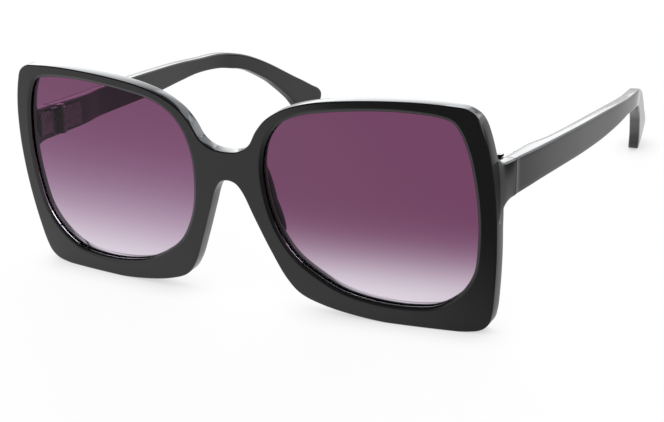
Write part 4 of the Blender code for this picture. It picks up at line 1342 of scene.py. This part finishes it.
@dataclass
class Studio:
    """A pale floor with a painted contact shadow, a surround that looks white, and soft lamps
    behind.

    Gloss sees painted shade on the floor, which fades it out towards the dark side of the room,
    where the photographer stood, and sees the walls fade upwards to a dark ceiling.
    """

    floor_size: float = 6.0
    paper: Triple = (0.95, 0.95, 0.95)
    paper_roughness: float = 0.5
    paper_specular: float = 0.3
    floor_shadow_share: float = 0.06
    surround: float = 0.85
    # Painted shade seen in reflections: for glossy rays the floor's white fades down along this
    # direction, over this span of reach.
    dark_side: Triple = (0.85, -0.53, 0.0)
    dark_side_fade: Pair = (0.065, 0.13)
    floor_gloss: Pair = (0.85, 0.12)
    # Painted contact shadow: how far and how deeply ambient occlusion darkens the floor's white
    # emission near the object.
    contact_reach: float = 0.010
    contact_depth: float = 0.35
    ceiling_slope: float = -0.25
    ceiling_fade: Pair = (0.10, 0.34)
    wall_gloss: Pair = (1.5, 0.10)
    lamps: tuple[SoftBox, ...] = field(default_factory=lambda: (
        SoftBox("rear_box", (-0.53, 0.97, 0.50), (1.1, 0.70), 2.3, (0.94, 0.97, 1.0)),
        SoftBox("upper_box", (0.13, 0.93, 0.76), (1.05, 0.30), 2.8, (0.90, 0.95, 1.0)),
        SoftBox("side_box", (0.65, 0.89, 0.47), (0.40, 0.40), 2.8, (0.90, 0.95, 1.0)),
    ))

    @staticmethod
    def white_ray(nodes: Nodes, gloss: Socket) -> tuple[Socket, Socket]:
        """Work out how a ray that looks at the surround sees it.

        Args:
            nodes: The builder to add to.
            gloss: The brightness that a glossy ray sees.

        Returns:
            1 for camera, glossy and transmission rays and 0 for others, and the brightness for
            those rays: white, except that gloss sees its own.
        """
        path = nodes.add("ShaderNodeLightPath")
        shiny = path.outputs["Is Glossy Ray"]
        seen = nodes.maths("MAXIMUM", path.outputs["Is Camera Ray"], shiny)
        seen = nodes.maths("MAXIMUM", seen, path.outputs["Is Transmission Ray"])
        loss = nodes.maths("MULTIPLY", shiny, nodes.maths("SUBTRACT", 1.0, gloss))
        return seen, nodes.maths("SUBTRACT", 1.0, loss)

    def add_floor(self) -> None:
        """Add the floor: part diffuse, which keeps the shadows, and part white emission, which
        carries a painted contact shadow near the object and, for glossy rays, painted shade
        towards the dark side.
        """
        half = self.floor_size / 2
        corners = [(-half, -half, 0.0), (half, -half, 0.0), (half, half, 0.0), (-half, half, 0.0)]
        mesh = bpy.data.meshes.new("floor")
        mesh.from_pydata(corners, [], [(0, 1, 2, 3)])
        floor = add_object("floor", mesh)
        material, nodes, shader = start_material("floor_paper")
        nodes.feed_all(shader, {"Base Color": opaque(self.paper),
                                "Roughness": self.paper_roughness,
                                "Specular IOR Level": self.paper_specular})
        # Painted shade seen in reflections: glossy rays see the floor darken towards the dark
        # side.
        reach = nodes.add("ShaderNodeVectorMath", operation="DOT_PRODUCT")
        nodes.wire(nodes.place(), reach.inputs[0])
        reach.inputs[1].default_value = self.dark_side
        gloss = nodes.span(reach.outputs["Value"], self.dark_side_fade, self.floor_gloss)
        seen, brightness = self.white_ray(nodes, gloss)
        # Painted contact shadow: ambient occlusion darkens the white emission near the object.
        painted_contact_shadow = nodes.add("ShaderNodeAmbientOcclusion")
        painted_contact_shadow.inputs["Distance"].default_value = self.contact_reach
        shade = nodes.span(painted_contact_shadow.outputs["AO"], (0.0, 1.0), (1 - self.contact_depth, 1.0))
        white = nodes.add("ShaderNodeEmission")
        nodes.feed_all(white, {"Color": opaque(WHITE),
                               "Strength": nodes.maths("MULTIPLY", brightness, shade)})
        blend = nodes.add("ShaderNodeMixShader")
        nodes.wire(nodes.maths("MULTIPLY", seen, 1 - self.floor_shadow_share),
                   blend.inputs["Fac"])
        nodes.wire(shader.outputs["BSDF"], blend.inputs[1])
        nodes.wire(white.outputs["Emission"], blend.inputs[2])
        sink = material.node_tree.nodes["Material Output"]
        nodes.wire(blend.outputs["Shader"], sink.inputs["Surface"])
        mesh.materials.append(material)

    def add_surround(self) -> None:
        """Light the world evenly, and show it white where the camera looks at it."""
        world = bpy.data.worlds.new("surround")
        bpy.context.scene.world = world
        world.use_nodes = True
        nodes = Nodes(world.node_tree)
        away = nodes.split(nodes.add("ShaderNodeTexCoord").outputs["Generated"])
        height = nodes.maths("MULTIPLY_ADD", away["Y"], self.ceiling_slope, away["Z"])
        gloss = nodes.span(height, self.ceiling_fade, self.wall_gloss)
        seen, brightness = self.white_ray(nodes, gloss)
        nodes.feed_all(world.node_tree.nodes["Background"], {
            "Color": opaque(WHITE),
            "Strength": nodes.span(seen, (0.0, 1.0), (self.surround, brightness))})

    def build(self) -> None:
        """Add the floor, the surround and the lamps."""
        self.add_floor()
        self.add_surround()
        for lamp in self.lamps:
            lamp.build()


@dataclass(frozen=True)
class PhotoCamera:
    """The camera at the photograph's place: yaw, pitch and roll in radians."""

    location: Triple = (0.18843, -0.36559, 0.16424)
    yaw: float = -0.5069
    pitch: float = -0.3869
    roll: float = -0.06554
    focal_pixels: float = 1400.0
    image_width: float = 664.0
    sensor: float = 36.0
    clip_start: float = 0.01

    def build(self) -> None:
        """Add the camera and make it the scene's."""
        ahead = np.array([math.sin(self.yaw) * math.cos(self.pitch),
                          math.cos(self.yaw) * math.cos(self.pitch), math.sin(self.pitch)])
        level = np.array([math.cos(self.yaw), -math.sin(self.yaw), 0.0])
        above = np.cross(level, ahead)
        right = level * math.cos(self.roll) + above * math.sin(self.roll)
        up = above * math.cos(self.roll) - level * math.sin(self.roll)
        data = bpy.data.cameras.new("photo_camera")
        data.sensor_fit = "HORIZONTAL"
        data.sensor_width = self.sensor
        data.lens = self.focal_pixels / self.image_width * self.sensor
        data.clip_start = self.clip_start
        camera = bpy.data.objects.new("photo_camera", data)
        bpy.context.scene.collection.objects.link(camera)
        turn = Matrix(np.stack([right, up, -ahead], axis=1).tolist()).to_4x4()
        camera.matrix_world = Matrix.Translation(self.location) @ turn
        bpy.context.scene.camera = camera


@dataclass
class Sunglasses:
    """The whole pair: it builds every piece and dresses the hinge hardware."""

    record: dict
    front_sharp_deg: float = 34.0
    tint_foot: float = 0.004
    # The two sides' fades differ to paint in the different light and view through each lens; the
    # dye's fade itself is real and the same on both.
    left_fades: Triple = (0.0142, 0.0136, 0.0142)
    left_power: float = 2.2
    right_fades: Triple = (0.0182, 0.0166, 0.0186)
    right_power: float = 1.45

    def hinge_point(self) -> Triple:
        """Return the left fold axis's place from the record."""
        joints = self.record["behaviour"]["joints"]
        return tuple(next(j["pos_m"] for j in joints if j["name"] == "left_temple_fold"))

    def build(self) -> None:
        """Add every piece."""
        point = self.hinge_point()
        face = FaceShape(hinge=point)
        hinge = HingeFrame(origin=point)
        front = Front(face)
        black = GlossPlastic("black_gloss_plastic").build()
        add_piece("front", front.mesh(EndPiece(hinge, face)), black, "front", "frame_front",
                  sharp_deg=self.front_sharp_deg)
        self.add_lenses(face, front)
        self.add_pads(face)
        self.add_temples(hinge)
        self.dress_hardware()

    @staticmethod
    def add_sided(side: Side, part: str, shape: bpy.types.Mesh, finish: bpy.types.Material,
                  body: str, node: str, slot: str) -> None:
        """Add one side's copy of a left-hand mesh.

        Args:
            side: The side, whose name goes before the piece's and the node's.
            part: The piece's name without its side.
            shape: The left-hand mesh.
            finish: The piece's finish.
            body: The CAD body that it moves with.
            node: The name of the CAD node that it replaces, without its side.
            slot: The record's material slot; not used.
        """
        name = f"{side.label}_{part}"
        add_piece(name, mirrored(shape, side, name), finish, body, f"{side.label}_{node}")

    def add_lenses(self, face: FaceShape, front: Front) -> None:
        """Add both lenses, each with its own fade: the plum dye's fade is real, and the difference
        between the two sides paints in the different light and view through each lens.

        Args:
            face: The front's shape.
            front: The front's section, which holds them.
        """
        shape = Lens(face, front).mesh()
        tints = {Side.LEFT: (self.left_fades, self.left_power),
                 Side.RIGHT: (self.right_fades, self.right_power)}
        for side, (fades, power) in tints.items():
            tint = TintedLens(f"plum_lens_{side.label}", self.tint_foot, fades, power)
            self.add_sided(side, "plum_lens", shape, tint.build(), "front", "lens", "tinted_lens")

    def add_pads(self, face: FaceShape) -> None:
        """Add both nose pads.

        Args:
            face: The front's shape.
        """
        shape = NosePad(face).mesh()
        finish = GlossPlastic("pad_plastic", roughness=0.2, smeared_roughness=0.3).build()
        for side in Side:
            self.add_sided(side, "pad", shape, finish, "front", "nose_pad", "black_pad")

    def add_temples(self, hinge: HingeFrame) -> None:
        """Add both temples, each on its own arm.

        Args:
            hinge: The left hinge's axes.
        """
        shape = Temple(hinge).mesh()
        finish = GlossPlastic("temple_plastic").build()
        for side in Side:
            self.add_sided(side, "arm", shape, finish, f"{side.label}_temple_arm", "temple",
                           "black_temple")

    def dress_hardware(self) -> None:
        """Give the CAD model's hinge leaves and screws their metal."""
        leaf = HingeMetal("stamped_hinge_metal").build()
        screw = HingeMetal("turned_screw_metal", roughness=0.18, line_scale=3200.0).build()
        for name, node in frame["nodes"].items():
            if name.endswith("_hinge") or name.endswith("_screw"):
                node.data.materials.clear()
                node.data.materials.append(screw if name.endswith("_screw") else leaf)
                LOG.info("%s dressed", name)


def main() -> None:
    """Build the sunglasses, the studio and the camera."""
    logging.basicConfig(level=logging.INFO, format="%(name)s: %(message)s")
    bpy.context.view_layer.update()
    bpy.context.scene.view_settings.view_transform = "Standard"
    PhotoCamera().build()
    Studio().build()
    Sunglasses(record=frame["record"]).build()


if __name__ == "__main__":
    main()
